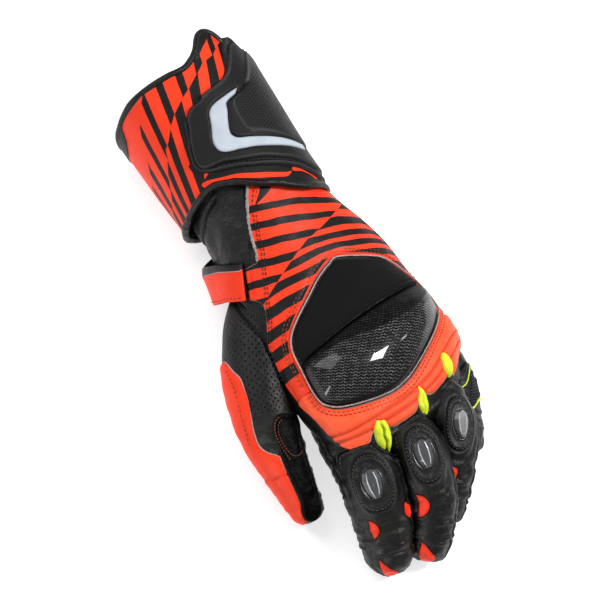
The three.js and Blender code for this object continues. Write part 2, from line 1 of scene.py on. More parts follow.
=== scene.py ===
import math

import bpy
import numpy as np
from mathutils import Matrix, Vector
from mathutils.geometry import delaunay_2d_cdt


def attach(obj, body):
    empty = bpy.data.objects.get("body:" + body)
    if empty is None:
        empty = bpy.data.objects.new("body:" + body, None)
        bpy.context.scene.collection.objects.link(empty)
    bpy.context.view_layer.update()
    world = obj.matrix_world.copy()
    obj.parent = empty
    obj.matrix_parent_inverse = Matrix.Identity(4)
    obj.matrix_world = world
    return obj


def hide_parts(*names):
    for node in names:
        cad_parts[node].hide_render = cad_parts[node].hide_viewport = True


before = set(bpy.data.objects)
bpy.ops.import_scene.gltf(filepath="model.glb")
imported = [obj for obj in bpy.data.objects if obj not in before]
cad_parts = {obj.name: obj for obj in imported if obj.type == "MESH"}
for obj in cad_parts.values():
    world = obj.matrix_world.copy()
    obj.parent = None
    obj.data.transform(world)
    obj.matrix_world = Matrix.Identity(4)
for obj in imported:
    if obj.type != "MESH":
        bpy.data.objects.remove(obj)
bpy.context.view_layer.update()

# A left race glove with a long cuff, lying palm down. Tables and outlines are in millimetres, with
# +Z out of the back of the hand, -Y towards the fingertips and -X towards the thumb.
MM = 0.001
# From the tables' origin to the shared frame's, which is under the middle of the glove
SHIFT = np.array([3.0, 48.5, 0.0])
# How square the round sections are, where 2 is an ellipse
ROUNDNESS = 2.25
FINGER_ROUNDNESS = 2.2
# Millimetres for each degree round a sleeve and round a finger, for flat patterns
SLEEVE_ARC = 0.7
FINGER_ARC = 0.25
# Flat millimetres for each step of a finger's table
FINGER_STEP = 18.0
# Thickness of the leather, and how deep a panel's cut edge reaches into what carries it
LEATHER = 1.6
SUNK = 1.2
# Within this height in mm of what it lies on, leather flattens, this softly
NEAR_FLOOR, FLOOR_SOFTNESS = 3, 0.5


def table(names, rows):
    """The columns of a table, by their names."""
    columns = np.array(rows, float).T
    return dict(zip(names.split(), columns))


# Sections of the hand across its length, from the finger roots to the wrist sleeve
HAND = table("y x z half rise drop tilt", [
    (-138, 13, 33, 44, 15, 12, 5),
    (-126, 13, 32, 50.5, 21.5, 19, 5),
    (-112, 12.8, 32, 53.4, 25, 24, 5),
    (-95, 12.4, 32.5, 54.5, 26.5, 26, 5),
    (-72, 10.4, 33, 53, 27, 27, 4),
    (-48, 8, 33, 49, 27.5, 28, 3),
    (-25, 6, 34, 43.7, 28.5, 29, 2),
    (-5, 3.6, 35.5, 37, 30, 29.5, 1),
    (15, 2, 37, 35, 31.5, 31, 0),
    (40, 0.8, 38, 35, 32.5, 32.5, 0),
    (62, 0, 39, 35.5, 34, 34.5, 0),
])
# The line of knuckles slants back towards the little finger.
SLANT_BACK, SLANT_FROM, SLANT_TO, SLANT_START, SLANT_END = 16, -95, -138, -10, 48
# Sections of the cuff, and where its mouth and lower edge run by the angle round it from the top
CUFF = table("y x z half rise drop tilt", [
    (-25, 3, 37, 42, 35, 38.6, 0),
    (0, 1.2, 37.5, 40.4, 35.3, 39.1, 0),
    (25, 0, 38, 39.8, 36, 39.6, 0),
    (55, -1.2, 39, 41, 37, 40.6, 0),
    (85, -2.3, 40, 42.2, 38.5, 41.6, 0),
    (110, -2.5, 41, 43, 39, 42.6, 0),
    (125, -2.5, 41.5, 43.5, 39.5, 43, 0),
])
EDGES = table("angle mouth hem", [
    (-180, 81, 20), (-135, 83, 21), (-90, 87.5, 21.5), (-60, 91, 25), (-40, 91.5, 25.5),
    (-20, 91.5, 20.5), (-5, 91.5, 13.5), (5, 97, 9.5), (15, 105.5, 5), (26, 105, 2),
    (37, 95, 1), (48, 89, 0.5), (90, 85, 3), (135, 82, 12), (180, 81, 20),
])
# Sections along each finger, from its root inside the hand to the tip
JOINT = "x y z half rise drop roll"
FINGERS = {
    "index": table(JOINT, [
        (-22, -100, 29, 14, 12, 13, -8), (-24, -126, 30.5, 15.5, 12.5, 13.5, -12),
        (-24.5, -148, 32, 17, 15, 15, -14), (-27, -168, 26, 15.2, 14, 14, -14),
        (-29.2, -181, 19.5, 14, 13, 13.5, -12), (-30.5, -190, 14, 12, 11.5, 13.5, -10),
    ]),
    "middle": table(JOINT, [
        (5, -102, 32, 13, 12.5, 13, 0), (6, -130, 35, 13.5, 13, 13.5, -4),
        (6.5, -152, 36, 14.6, 14.5, 14, -8), (2.5, -174, 29, 13.9, 13.5, 13.5, -10),
        (-2.5, -187, 20.5, 12.9, 12.5, 13, -10), (-7, -195, 14, 11.2, 11.5, 13.7, -8),
    ]),
    "ring": table(JOINT, [
        (31, -100, 30, 12.5, 12, 12.5, 4), (34.5, -124, 32, 12.8, 12.8, 12.8, 4),
        (34.5, -145, 32, 13.2, 13.6, 13.2, 2), (26.5, -163, 25.5, 12.4, 12.8, 12.8, -4),
        (19, -174.5, 18.5, 11.7, 11.8, 12.3, -6), (13.5, -182, 13.3, 10.6, 10.8, 13, -6),
    ]),
    "little": table(JOINT, [
        (51, -94, 26, 11.5, 11.5, 11.5, 12), (55.5, -112, 23, 11.6, 11.8, 11.6, 14),
        (55, -130, 18, 11.4, 11.4, 11.4, 12), (50.5, -145, 13.5, 10.8, 10.8, 13, 8),
        (46.5, -155, 11.5, 10, 10, 11.2, 5),
    ]),
    "thumb": table(JOINT, [
        (-23, -31, 29, 13, 17, 17, -35), (-34, -48, 27, 17.5, 18, 18.5, -35),
        (-46.5, -71, 25, 18.8, 17.5, 18, -35), (-54.3, -94, 22, 17.2, 16, 16, -35),
        (-57.3, -116, 19, 14.3, 14, 15, -35), (-58, -134, 15.5, 11.2, 12, 14, -35),
        (-57.5, -146, 12.5, 9.2, 9.5, 12.3, -35),
    ]),
}


def power(value, exponent):
    """A power that keeps the sign of its value."""
    return np.sign(value) * np.abs(value) ** exponent


def smooth(low, high, value):
    """0 at low, 1 at high, smooth between. High may be the lower one."""
    share = np.clip((value - low) / (high - low), 0, 1)
    return share * share * (3 - 2 * share)


def ridge(value, middle, width):
    """A bell of height 1 round a middle value."""
    return np.exp(-(((value - middle) / width) ** 2))


def along(rows, key, at, name):
    """A smooth value of one column of a table, for each value of its key column."""
    keys, values = rows[key], rows[name]
    last = len(keys) - 1
    at = np.clip(at, keys[0], keys[last])
    i = np.clip(np.searchsorted(keys, at, "right") - 1, 0, last - 1)
    low = np.maximum(np.arange(last + 1) - 1, 0)
    high = np.minimum(np.arange(last + 1) + 1, last)
    slope = (values[high] - values[low]) / (keys[high] - keys[low])
    step = keys[i + 1] - keys[i]
    f = (at - keys[i]) / step
    rest = 1 - f
    start = (1 + 2 * f) * rest**2 * values[i] + f * rest**2 * step * slope[i]
    return start + f**2 * (3 - 2 * f) * values[i + 1] - f**2 * rest * step * slope[i + 1]


def sleeve_point(rows, y, angle, over=0.0):
    """A point of the hand or the cuff: y along it, angle from the top, and height over its leather."""
    y, angle, over = np.broadcast_arrays(np.asarray(y, float), np.asarray(angle, float), over)
    turn = np.radians(angle)
    sine = power(np.sin(turn), 2 / ROUNDNESS)
    cosine = power(np.cos(turn), 2 / ROUNDNESS)
    across = sine * (along(rows, "y", y, "half") + over)
    reach = np.where(cosine >= 0, along(rows, "y", y, "rise"), along(rows, "y", y, "drop"))
    height = cosine * (reach + over)
    tilt = np.radians(along(rows, "y", y, "tilt"))
    slant = 0
    if rows is HAND:
        outer = np.clip((across - SLANT_START) / (SLANT_END - SLANT_START), 0, 1) ** 2
        slant = SLANT_BACK * smooth(-SLANT_FROM, -SLANT_TO, -y) * outer
    return np.stack([
        along(rows, "y", y, "x") + across * np.cos(tilt) + height * np.sin(tilt),
        y + slant,
        along(rows, "y", y, "z") + height * np.cos(tilt) - across * np.sin(tilt),
    ], -1)


def joint_at(rows, t):
    """Each column of a finger's table at a place along it."""
    last = len(rows["x"]) - 1
    i = np.minimum(t.astype(int), last - 1)
    f = t - i
    found = {}
    for name, value in rows.items():
        row = np.concatenate([[2 * value[0] - value[1]], value, [2 * value[-1] - value[-2]]])
        a, b, c, d = row[i], row[i + 1], row[i + 2], row[i + 3]
        bend = (2 * a - 5 * b + 4 * c - d) * f**2 + (3 * b - a - 3 * c + d) * f**3
        found[name] = 0.5 * (2 * b + (c - a) * f + bend)
    return found


def finger_point(rows, t, angle, over=0.0):
    """A point of a finger: t runs along its sections, and past the last one over its round tip."""
    t, angle, over = np.broadcast_arrays(np.asarray(t, float), np.asarray(angle, float), over)
    last = len(rows["x"]) - 1
    tip = np.clip(t - last, 0, 1) * math.pi / 2
    here = joint_at(rows, np.clip(t, 0, last))
    before = joint_at(rows, np.clip(t - 0.01, 0, last - 0.01))
    after = joint_at(rows, np.clip(t + 0.01, 0.01, last))
    forward = np.stack([after[k] - before[k] for k in "xyz"], -1)
    forward /= np.linalg.norm(forward, axis=-1, keepdims=True)
    roll = np.radians(here["roll"])
    side = np.cross(np.stack([np.sin(roll), 0 * roll, np.cos(roll)], -1), forward)
    side /= np.linalg.norm(side, axis=-1, keepdims=True)
    up = np.cross(forward, side)
    turn = np.radians(angle)
    sine = power(np.sin(turn), 2 / FINGER_ROUNDNESS)
    cosine = power(np.cos(turn), 2 / FINGER_ROUNDNESS)
    reach = np.where(cosine >= 0, here["rise"], here["drop"]) + over
    point = np.stack([here[k] for k in "xyz"], -1)
    point = point + side * (sine * (here["half"] + over) * np.cos(tip))[..., None]
    point = point + up * (cosine * reach * np.cos(tip))[..., None]
    return point + forward * (np.sin(tip) * (here["half"] + over))[..., None]


def side_bulge(angle, v):
    """The padded side of the hand, under the little finger, stands out by up to 4.2 mm."""
    return 4.2 * ridge(angle, 88, 38) * smooth(24, 2, v) * smooth(-66, -34, v)


def on_floor(points):
    """Leather flattens softly where it would sink into the surface that it lies on."""
    z = points[..., 2]
    flat = 0.5 * (z + np.sqrt(z * z + FLOOR_SOFTNESS**2))
    return np.concatenate([points[..., :2], np.where(z > NEAR_FLOOR, z, flat)[..., None]], -1)


# The next three take flat coordinates in mm, u across and v along, and a height over the leather.
def hand_surface(u, v, over=0.0):
    angle = np.asarray(u, float) / SLEEVE_ARC
    return on_floor(sleeve_point(HAND, v, angle, over + side_bulge(angle, np.asarray(v, float))))


def cuff_surface(u, v, over=0.0):
    return on_floor(sleeve_point(CUFF, v, u / SLEEVE_ARC, over))


def finger_surface(name):
    rows = FINGERS[name]
    return lambda u, v, over=0.0: on_floor(finger_point(rows, v / FINGER_STEP, u / FINGER_ARC, over))


def flat_points(rows):
    """Points given as an angle round a sleeve and a place along it, in flat coordinates."""
    return [(angle * SLEEVE_ARC, v) for angle, v in rows]


def on_finger(rows):
    """Points given as an angle round a finger and a place along it, in flat coordinates."""
    return [(angle * FINGER_ARC, t * FINGER_STEP) for angle, t in rows]


# How the corners of the noise's cells get values that look random
SEED_STEP, CELL_KEYS, SCATTER = 17.31, np.array([127.1, 311.7, 74.7]), 43758.5453


def noise(points, size, seed=0):
    """Smooth random values from -1 to 1, with bumps of the given size."""
    at = np.asarray(points, float) / size + seed * SEED_STEP
    ways = at.shape[-1]
    cell = np.floor(at)
    f = at - cell
    f = f * f * (3 - 2 * f)
    total = 0
    for corner in range(2**ways):
        offset = np.array([(corner >> k) & 1 for k in range(ways)])
        weight = np.prod(np.where(offset == 1, f, 1 - f), -1)
        key = (cell + offset) @ CELL_KEYS[:ways]
        total = total + weight * (np.sin(key) * SCATTER % 1)
    return 2 * total - 1


def counted(value, places):
    """Which of a row of places a value lies at, running on evenly past both ends."""
    places = np.array(places, float)
    at = np.interp(value, places, np.arange(len(places)))
    before = np.minimum(value - places[0], 0) / (places[1] - places[0])
    return at + before + np.maximum(value - places[-1], 0) / (places[-1] - places[-2])


# Lines and filled outlines in the flat
# Steps of a curve between two of its points, and points whose distances are found at a time
CURVE_STEPS, CHUNK = 24, 2000
# Rows of a filling lattice for each of its steps, and how far it keeps from the outline
LATTICE_ROWS, LATTICE_MARGIN = 0.866, 0.55


def smooth_line(points, step, closed=True):
    """A curve through the points, cut into even steps. A point given twice is a sharp corner."""
    points = [tuple(map(float, p)) for p in points]
    corners = [i for i in range(len(points) - 1) if points[i] == points[i + 1]]
    if closed and corners:
        turn = corners[0] + 1
        points = points[turn:] + points[:turn]
        return np.concatenate([smooth_line(run, step, False)[:-1] for run in runs_between(points)])
    if closed:
        ring = [points[-1]] + points + points[:2]
    elif corners:
        runs = [smooth_line(run, step, False) for run in runs_between(points + [points[-1]])]
        return np.concatenate([run[:-1] for run in runs[:-1]] + [runs[-1]])
    else:
        first = 2 * np.array(points[0]) - np.array(points[1])
        last = 2 * np.array(points[-1]) - np.array(points[-2])
        ring = [tuple(first)] + points + [tuple(last)]
    ring = np.array(ring)
    f = np.linspace(0, 1, CURVE_STEPS, endpoint=False)[:, None]
    curve = []
    for a, b, c, d in zip(ring, ring[1:], ring[2:], ring[3:]):
        ta, tb, tc = (np.linalg.norm(q - p) ** 0.5 + 1e-9 for p, q in ((a, b), (b, c), (c, d)))
        m1 = tb * ((b - a) / ta - (c - a) / (ta + tb) + (c - b) / tb)
        m2 = tb * ((c - b) / tb - (d - b) / (tb + tc) + (d - c) / tc)
        curve.append((2 * f**3 - 3 * f**2 + 1) * b + (f**3 - 2 * f**2 + f) * m1
                     + (3 * f**2 - 2 * f**3) * c + (f**3 - f**2) * m2)
    curve = np.concatenate(curve + [ring[-2][None]])
    length = np.concatenate([[0], np.cumsum(np.linalg.norm(np.diff(curve, axis=0), axis=1))])
    count = max(int(round(length[-1] / step)), 3)
    at = np.linspace(0, length[-1], count + 1)
    line = np.stack([np.interp(at, length, curve[:, k]) for k in range(curve.shape[1])], -1)
    return line[:-1] if closed else line


def runs_between(points):
    """The stretches of an outline between its doubled points, the last one closing it."""
    runs, run = [], [points[0]]
    for p in points[1:] + [points[0]]:
        if p == run[-1]:
            if len(run) > 1:
                runs.append(run)
            run = [p]
        else:
            run.append(p)
    if len(run) > 1:
        runs.append(run)
    return runs


def inside(points, ring):
    """Whether each flat point lies inside a closed outline."""
    x, y = points[:, 0][:, None], points[:, 1][:, None]
    a, b = ring, np.roll(ring, -1, axis=0)
    over = (a[:, 1] > y) != (b[:, 1] > y)
    with np.errstate(divide="ignore", invalid="ignore"):
        crossing = a[:, 0] + (y - a[:, 1]) * (b[:, 0] - a[:, 0]) / (b[:, 1] - a[:, 1])
    return (over & (x < crossing)).sum(1) % 2 == 1


def edge_distance(points, line, closed=True):
    """How far each point lies from a line of points, in two or three dimensions."""
    a = line if closed else line[:-1]
    b = np.roll(line, -1, axis=0) if closed else line[1:]
    best = np.empty(len(points))
    span = b - a
    size = np.maximum((span**2).sum(1), 1e-12)
    for start in range(0, len(points), CHUNK):
        p = points[start:start + CHUNK, None]
        share = np.clip(((p - a) * span).sum(-1) / size, 0, 1)
        near = a + span * share[..., None]
        best[start:start + CHUNK] = np.sqrt(((p - near) ** 2).sum(-1).min(1))
    return best


def filled(ring, spacing):
    """Points and triangles that fill a closed outline, the outline's own points first."""
    low, high = ring.min(0), ring.max(0)
    rows = np.arange(low[1], high[1], spacing * LATTICE_ROWS)
    columns = np.arange(low[0] - spacing, high[0] + spacing, spacing)
    x, y = np.meshgrid(columns, rows)
    x = x + (np.arange(len(rows)) % 2)[:, None] * spacing / 2
    lattice = np.stack([x.ravel(), y.ravel()], -1)
    lattice = lattice[inside(lattice, ring)]
    lattice = lattice[edge_distance(lattice, ring) > spacing * LATTICE_MARGIN]
    flat = np.concatenate([ring, lattice])
    made = delaunay_2d_cdt([Vector(p) for p in flat], [], [list(range(len(ring)))], 1, 1e-6)
    points = np.array([tuple(p) for p in made[0]])
    if len(points) != len(flat):
        raise ValueError("an outline crosses itself")
    return points, [tuple(face) for face in made[2]]


def signed(flat, ring):
    """Distance in the flat to a closed outline, positive inside it."""
    return np.where(inside(flat, ring), 1, -1) * edge_distance(flat, ring)


def signed_area(ring):
    """Twice the area of an outline, positive where it runs anticlockwise."""
    return (ring[:, 0] * np.roll(ring[:, 1], -1) - np.roll(ring[:, 0], -1) * ring[:, 1]).sum()


def outward_normals(ring):
    """The direction out of a closed flat outline at each of its points."""
    along_it = np.roll(ring, -1, axis=0) - np.roll(ring, 1, axis=0)
    normal = np.stack([along_it[:, 1], -along_it[:, 0]], -1)
    normal /= np.linalg.norm(normal, axis=1, keepdims=True) + 1e-12
    return normal if signed_area(ring) > 0 else -normal


def beside(line, offset):
    """An open flat line moved sideways, to the right of the way that it runs."""
    way = np.gradient(line, axis=0)
    way /= np.linalg.norm(way, axis=1, keepdims=True)
    return line + offset * np.stack([way[:, 1], -way[:, 0]], -1)


def inset(ring, distance):
    """An outline drawn in by a distance, without the loops that tight corners would make."""
    moved = ring - outward_normals(ring) * distance
    return moved[edge_distance(moved, ring) > distance * 0.93]


def sleeve_line(rows, step=0.8, closed=False):
    """A smooth flat line or outline from angles round a sleeve and places along it."""
    return smooth_line(flat_points(rows), step, closed)


def flat_rows(u, v):
    """Two grids of flat coordinates as one list of points."""
    return np.stack([u, v], -1).reshape(-1, 2)


def fall(rows, at):
    """A straight-lined value of a table or of pairs, for each value of its first column."""
    columns = list(rows.values()) if isinstance(rows, dict) else np.array(rows).T
    return np.interp(at, *columns)


# Pieces of the scene
def make_piece(name, points, faces, materials, replaced=(), slot=None, print_uv=None, masks=None,
               face_materials=None):
    """One mesh object from points in mm, which rides with the glove. Nothing goes below the floor."""
    mesh = bpy.data.meshes.new(name)
    above = np.concatenate([points[:, :2], np.maximum(points[:, 2:], 0)], 1)
    mesh.from_pydata(((above + SHIFT) * MM).tolist(), [], faces)
    mesh.validate()
    for material in materials:
        mesh.materials.append(material)
    if face_materials is not None:
        mesh.polygons.foreach_set("material_index", np.asarray(face_materials, dtype=np.int32))
    mesh.polygons.foreach_set("use_smooth", np.ones(len(mesh.polygons), dtype=bool))
    if print_uv is not None:
        corner = np.empty(len(mesh.loops), dtype=np.int32)
        mesh.loops.foreach_get("vertex_index", corner)
        layer = mesh.uv_layers.new(name="print")
        layer.uv.foreach_set("vector", (np.asarray(print_uv)[corner] * MM).astype(np.float32).ravel())
    for mask, values in (masks or {}).items():
        mesh.attributes.new(mask, "FLOAT", "POINT").data.foreach_set("value", values.astype(np.float32))
    piece = bpy.data.objects.new(name, mesh)
    bpy.context.collection.objects.link(piece)
    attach(piece, "root")
    if replaced:
        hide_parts(*replaced)
    return piece


def grid_faces(rows, columns, first=0, closed=False, flip=False):
    """Quads over a grid of points, closed on itself across its columns if asked."""
    faces = []
    for i in range(rows - 1):
        for j in range(columns if closed else columns - 1):
            a = first + i * columns + j
            b = first + i * columns + (j + 1) % columns
            quad = (a, b, b + columns, a + columns)
            faces.append(quad[::-1] if flip else quad)
    return faces


def capped_wall(outer, inner):
    """Points and faces of a tube with a wall: along its outside to a closed end, and back inside it."""
    columns = outer.shape[1]
    points = np.concatenate([outer.reshape(-1, 3), inner.reshape(-1, 3)])
    first = len(outer) * columns
    last = first + (len(inner) - 1) * columns
    faces = grid_faces(len(outer), columns, closed=True, flip=True)
    faces += grid_faces(len(inner), columns, first, closed=True, flip=True)
    faces.append(tuple(range(first - columns, first)))
    faces.append(tuple(range(first + columns - 1, first - 1, -1)))
    faces += [(last + j, j, (j + 1) % columns, last + (j + 1) % columns) for j in range(columns)]
    return points, faces


def panel(name, surface, outline, relief, materials, spacing, bevel=0.35, sunk=SUNK, masks=None,
          ready=False, **options):
    """A sewn panel: a filled outline at the height that relief gives, with a bevelled cut edge.

    The outline is drawn as a smooth line first, unless it is ready."""
    ring = outline if ready else smooth_line(outline, spacing * 0.6)
    flat, triangles = filled(ring, spacing)
    base = surface(flat[:, 0], flat[:, 1], 0.0)
    edge = edge_distance(base, base[:len(ring)])
    over = relief(flat, edge)
    top = surface(flat[:, 0], flat[:, 1], over)
    outer = ring + outward_normals(ring) * bevel
    count = len(ring)
    rim = surface(outer[:, 0], outer[:, 1], over[:count] - bevel)
    foot = surface(outer[:, 0], outer[:, 1], np.full(count, -sunk))
    points = np.concatenate([top, rim, foot])
    if signed_area(ring) < 0:
        triangles = [face[::-1] for face in triangles]
    faces = oriented(top, triangles, surface, flat)
    skirt = []
    first = len(top)
    turned = faces_turn(faces, count)
    for low, high in ((0, first), (first, first + count)):
        for i in range(count):
            j = (i + 1) % count
            quad = (low + j, low + i, high + i, high + j)
            skirt.append(quad if turned else quad[::-1])
    uv = np.concatenate([flat, outer, outer])
    every = np.concatenate([edge, np.zeros(2 * count)])
    made = {"edge": every}
    for mask, values in (masks(flat, edge) if masks else {}).items():
        made[mask] = np.concatenate([values, values[:count], values[:count]])
    kinds = [0] * len(faces) + [len(materials) - 1] * len(skirt)
    return make_piece(name, points, faces + skirt, materials, print_uv=uv, masks=made,
                      face_materials=kinds, **options)


def oriented(top, triangles, surface, flat):
    """The triangles turned so that they face out of the surface."""
    a, b, c = (top[[face[k] for face in triangles]] for k in range(3))
    normal = np.cross(b - a, c - a)
    middle = flat[[face[0] for face in triangles]]
    lift = surface(middle[:, 0], middle[:, 1], 3.0) - surface(middle[:, 0], middle[:, 1], 0.0)
    facing = (normal * lift).sum(1).sum()
    return triangles if facing > 0 else [face[::-1] for face in triangles]


def faces_turn(faces, count):
    """Whether the outline's points run the same way as the edges of the faces inside it."""
    for face in faces:
        for i, j in zip(face, face[1:] + face[:1]):
            if i < count and j < count and (i + 1) % count == j:
                return True
            if i < count and j < count and (j + 1) % count == i:
                return False
    return True


# Materials, all made of nodes. Sizes and depths in them are in mm.
def linear(red, green, blue):
    """A colour as it looks on a screen, from 0 to 255, for a shader."""
    return tuple((c / 255) ** 2.2 for c in (red, green, blue)) + (1.0,)


RED = linear(240, 62, 27)
LIGHT_RED = linear(232, 54, 24)
DEEP_RED = linear(190, 32, 15)
BLACK = linear(14, 13, 12)
SOFT_BLACK = linear(25, 24, 22)
# Painted shade: the two tones of the shaded copy of the black leather.
SHADE_BLACK = linear(7, 7, 7)
SHADE_DIM_BLACK = linear(12, 12, 11)
PRINT_BLACK = linear(19, 17, 16)
RAW_EDGE = linear(176, 160, 156)
WHITE = linear(182, 190, 199)
NEON = linear(214, 230, 50)


def plug(tree, socket, value):
    """Links a field to a socket, or sets a plain value on it."""
    if isinstance(value, Field):
        tree.links.new(value.socket, socket)
    else:
        socket.default_value = value


class Field:
    """A number, vector or colour that varies over a surface. Arithmetic on it adds nodes."""

    def __init__(self, tree, socket):
        self.tree = tree
        self.socket = socket

    def math(self, operation, *others):
        node = self.tree.nodes.new("ShaderNodeMath")
        node.operation = operation
        for place, value in enumerate((self,) + others):
            plug(self.tree, node.inputs[place], value)
        return Field(self.tree, node.outputs[0])

    def __add__(self, other):
        return self.math("ADD", other)

    def __sub__(self, other):
        return self.math("SUBTRACT", other)

    def __mul__(self, other):
        return self.math("MULTIPLY", other)

    def __truediv__(self, other):
        return self.math("DIVIDE", other)

    __rmul__ = __mul__

    def wave(self, period=1.0):
        """From -1 to 1 and back, once in each period."""
        return (self * (2 * math.pi / period)).math("SINE")

    def fraction(self):
        """How far each place lies from the middle of its step, from -0.5 to 0.5."""
        return self.math("FRACT") - 0.5

    def step(self, low, high):
        """0 below low, 1 above high, smooth between. High may be the lower one."""
        node = self.tree.nodes.new("ShaderNodeMapRange")
        node.interpolation_type = "SMOOTHSTEP"
        plug(self.tree, node.inputs["Value"], self)
        rising = high > low
        node.inputs["From Min"].default_value = low if rising else high
        node.inputs["From Max"].default_value = high if rising else low
        node.inputs["To Min"].default_value = 0.0 if rising else 1.0
        node.inputs["To Max"].default_value = 1.0 if rising else 0.0
        return Field(self.tree, node.outputs[0])

    def scaled(self, factor):
        """A vector field times a constant vector."""
        node = self.tree.nodes.new("ShaderNodeVectorMath")
        node.operation = "MULTIPLY"
        plug(self.tree, node.inputs[0], self)
        node.inputs[1].default_value = factor
        return Field(self.tree, node.outputs[0])

    def parts(self):
        """The three numbers of a vector field."""
        node = self.tree.nodes.new("ShaderNodeSeparateXYZ")
        plug(self.tree, node.inputs[0], self)
        return [Field(self.tree, output) for output in node.outputs]


class Finish:
    """A material being made: its fields, and the one shader that they end in."""

    def __init__(self, name):
        self.material = bpy.data.materials.new(name)
        self.material.use_nodes = True
        self.tree = self.material.node_tree
        self.shader = self.tree.nodes["Principled BSDF"]
        self.normal = None
        self.object_place = None

    def node(self, kind, output=0, **settings):
        """A new node and the field of one of its outputs."""
        made = self.tree.nodes.new("ShaderNode" + kind)
        for name, value in settings.items():
            setattr(made, name, value)
        return made, Field(self.tree, made.outputs[output])

    def mask(self, name):
        """A value that the mesh carries at its points."""
        return self.node("Attribute", "Fac", attribute_name=name)[1]

    def flat(self):
        """Flat coordinates of a panel in mm, across and along it."""
        uv = self.node("UVMap", uv_map="print")[1]
        return uv.scaled((1 / MM,) * 3).parts()[:2]

    def place(self):
        """Where a point lies on the glove, in metres."""
        if self.object_place is None:
            self.object_place = self.node("TexCoord", "Object")[1]
        return self.object_place

    def noise(self, size, detail=3.0, roughness=0.55, stretch=None, bend=0.0):
        """Cloudy values from 0 to 1, in patches of the given size."""
        made, value = self.node("TexNoise")
        place = self.place().scaled(stretch) if stretch else self.place()
        plug(self.tree, made.inputs["Vector"], place)
        made.inputs["Scale"].default_value = 1 / (size * MM)
        made.inputs["Detail"].default_value = detail
        made.inputs["Roughness"].default_value = roughness
        made.inputs["Distortion"].default_value = bend
        return value

    def cells(self, size):
        """How far each place is from the middle of its cell."""
        made = self.node("TexVoronoi", feature="SMOOTH_F1")[0]
        plug(self.tree, made.inputs["Vector"], self.place())
        made.inputs["Scale"].default_value = 1 / (size * MM)
        return Field(self.tree, made.outputs["Distance"])

    def mix(self, share, first, second):
        """The second colour where share is 1, over the first."""
        made = self.node("Mix", data_type="RGBA")[0]
        plug(self.tree, made.inputs["Factor"], share)
        sockets = [s for s in made.inputs if s.type == "RGBA"]
        plug(self.tree, sockets[0], first)
        plug(self.tree, sockets[1], second)
        return Field(self.tree, next(s for s in made.outputs if s.type == "RGBA"))

    def relief(self, height, depth):
        """Raises the surface where height is 1, by a depth in mm, over any relief already given."""
        made = self.node("Bump")[0]
        plug(self.tree, made.inputs["Height"], height)
        made.inputs["Distance"].default_value = depth * MM
        made.inputs["Strength"].default_value = 1.0
        if self.normal is not None:
            plug(self.tree, made.inputs["Normal"], self.normal)
        self.normal = Field(self.tree, made.outputs[0])

    def done(self, color, roughness, **inputs):
        """Gives the shader its inputs, named as in its sockets but in small letters."""
        plug(self.tree, self.shader.inputs["Base Color"], color)
        plug(self.tree, self.shader.inputs["Roughness"], roughness)
        for name, value in inputs.items():
            socket = name.replace("_", " ").title().replace("Ior", "IOR")
            plug(self.tree, self.shader.inputs[socket], value)
        if self.normal is not None:
            plug(self.tree, self.shader.inputs["Normal"], self.normal)
        return self.material


def grain(finish, size, depth):
    """The pebbled grain of leather: small cells with creases between them, and fine pores."""
    cells = finish.cells(size)
    creases = finish.noise(size * 4, 3.0, 0.6)
    finish.relief(cells.step(0.75, 0.1), depth)
    finish.relief(creases, depth * 2.2)
    finish.relief(finish.noise(size * 0.35, 2.0), depth * 0.5)
    return cells


def round_dots(x, y):
    """How far each place is from the middle of its cell, where a cell is 1 wide."""
    return (x * x + y * y).math("SQRT")


HOLE_SPACING, HOLE_RADIUS, HOLE_EDGE = 2.8, 0.32, 0.15


def holes(across, along_it):
    """1 in the punched holes, which stand in rows, each row shifted by half a step."""
    def grid(shift):
        x = ((across / HOLE_SPACING) + (0.25 + shift)).fraction()
        y = ((along_it / HOLE_SPACING) + (0.25 + shift)).fraction()
        return round_dots(x, y) * HOLE_SPACING
    nearest = grid(0.0).math("MINIMUM", grid(0.5))
    return nearest.step(HOLE_RADIUS + HOLE_EDGE, HOLE_RADIUS - HOLE_EDGE)


def black_leather(name="black_leather", gloss=0.24, tones=(BLACK, SOFT_BLACK)):
    """Soft black cowhide, punched where one mask says; its holes and the creases of another get painted
    shade.
    """
    finish = Finish(name)
    cells = grain(finish, 0.8, 0.05)
    finish.relief(finish.noise(4.5, 4.0, 0.6, bend=1.5), 0.45)
    rubbed = finish.noise(26, 4.0, 0.6).step(0.4, 0.75)
    across, along_it = finish.flat()
    hole = holes(across, along_it) * finish.mask("holes")
    crease = finish.mask("crease")
    finish.relief(hole, -0.3)
    color = finish.mix(rubbed, *tones)
    color = finish.mix(cells.step(0.1, 0.8) * 0.25, color, linear(12, 11, 10))
    # Painted shade: the punched holes are painted near black, as the shade inside them.
    color = finish.mix(hole, color, linear(8, 8, 7))
    # Painted shade: the creases are painted near black.
    color = finish.mix(crease, color, linear(6, 6, 6))
    rough = finish.noise(9, 3.0).step(0.2, 0.9) * 0.16 + crease * 0.25 + 0.36
    shine = (hole * -0.8 + 1.0) * (crease * -0.7 + 1.0) * gloss
    return finish.done(color, rough, specular_ior_level=shine)


def red_grain(name, tones=(RED, LIGHT_RED)):
    """The start of a red leather: its finish, its cells and its colour between two tones."""
    finish = Finish(name)
    cells = grain(finish, 0.8, 0.06)
    tone = finish.noise(18, 4.0, 0.6).step(0.25, 0.8)
    color = finish.mix(tone, *tones)
    return finish, cells, finish.mix(cells.step(0.15, 0.8) * 0.2, color, DEEP_RED)


def red_gloss(finish, color):
    rough = finish.noise(7, 3.0).step(0.2, 0.9) * 0.15 + 0.42
    return finish.done(color, rough, specular_ior_level=0.18)


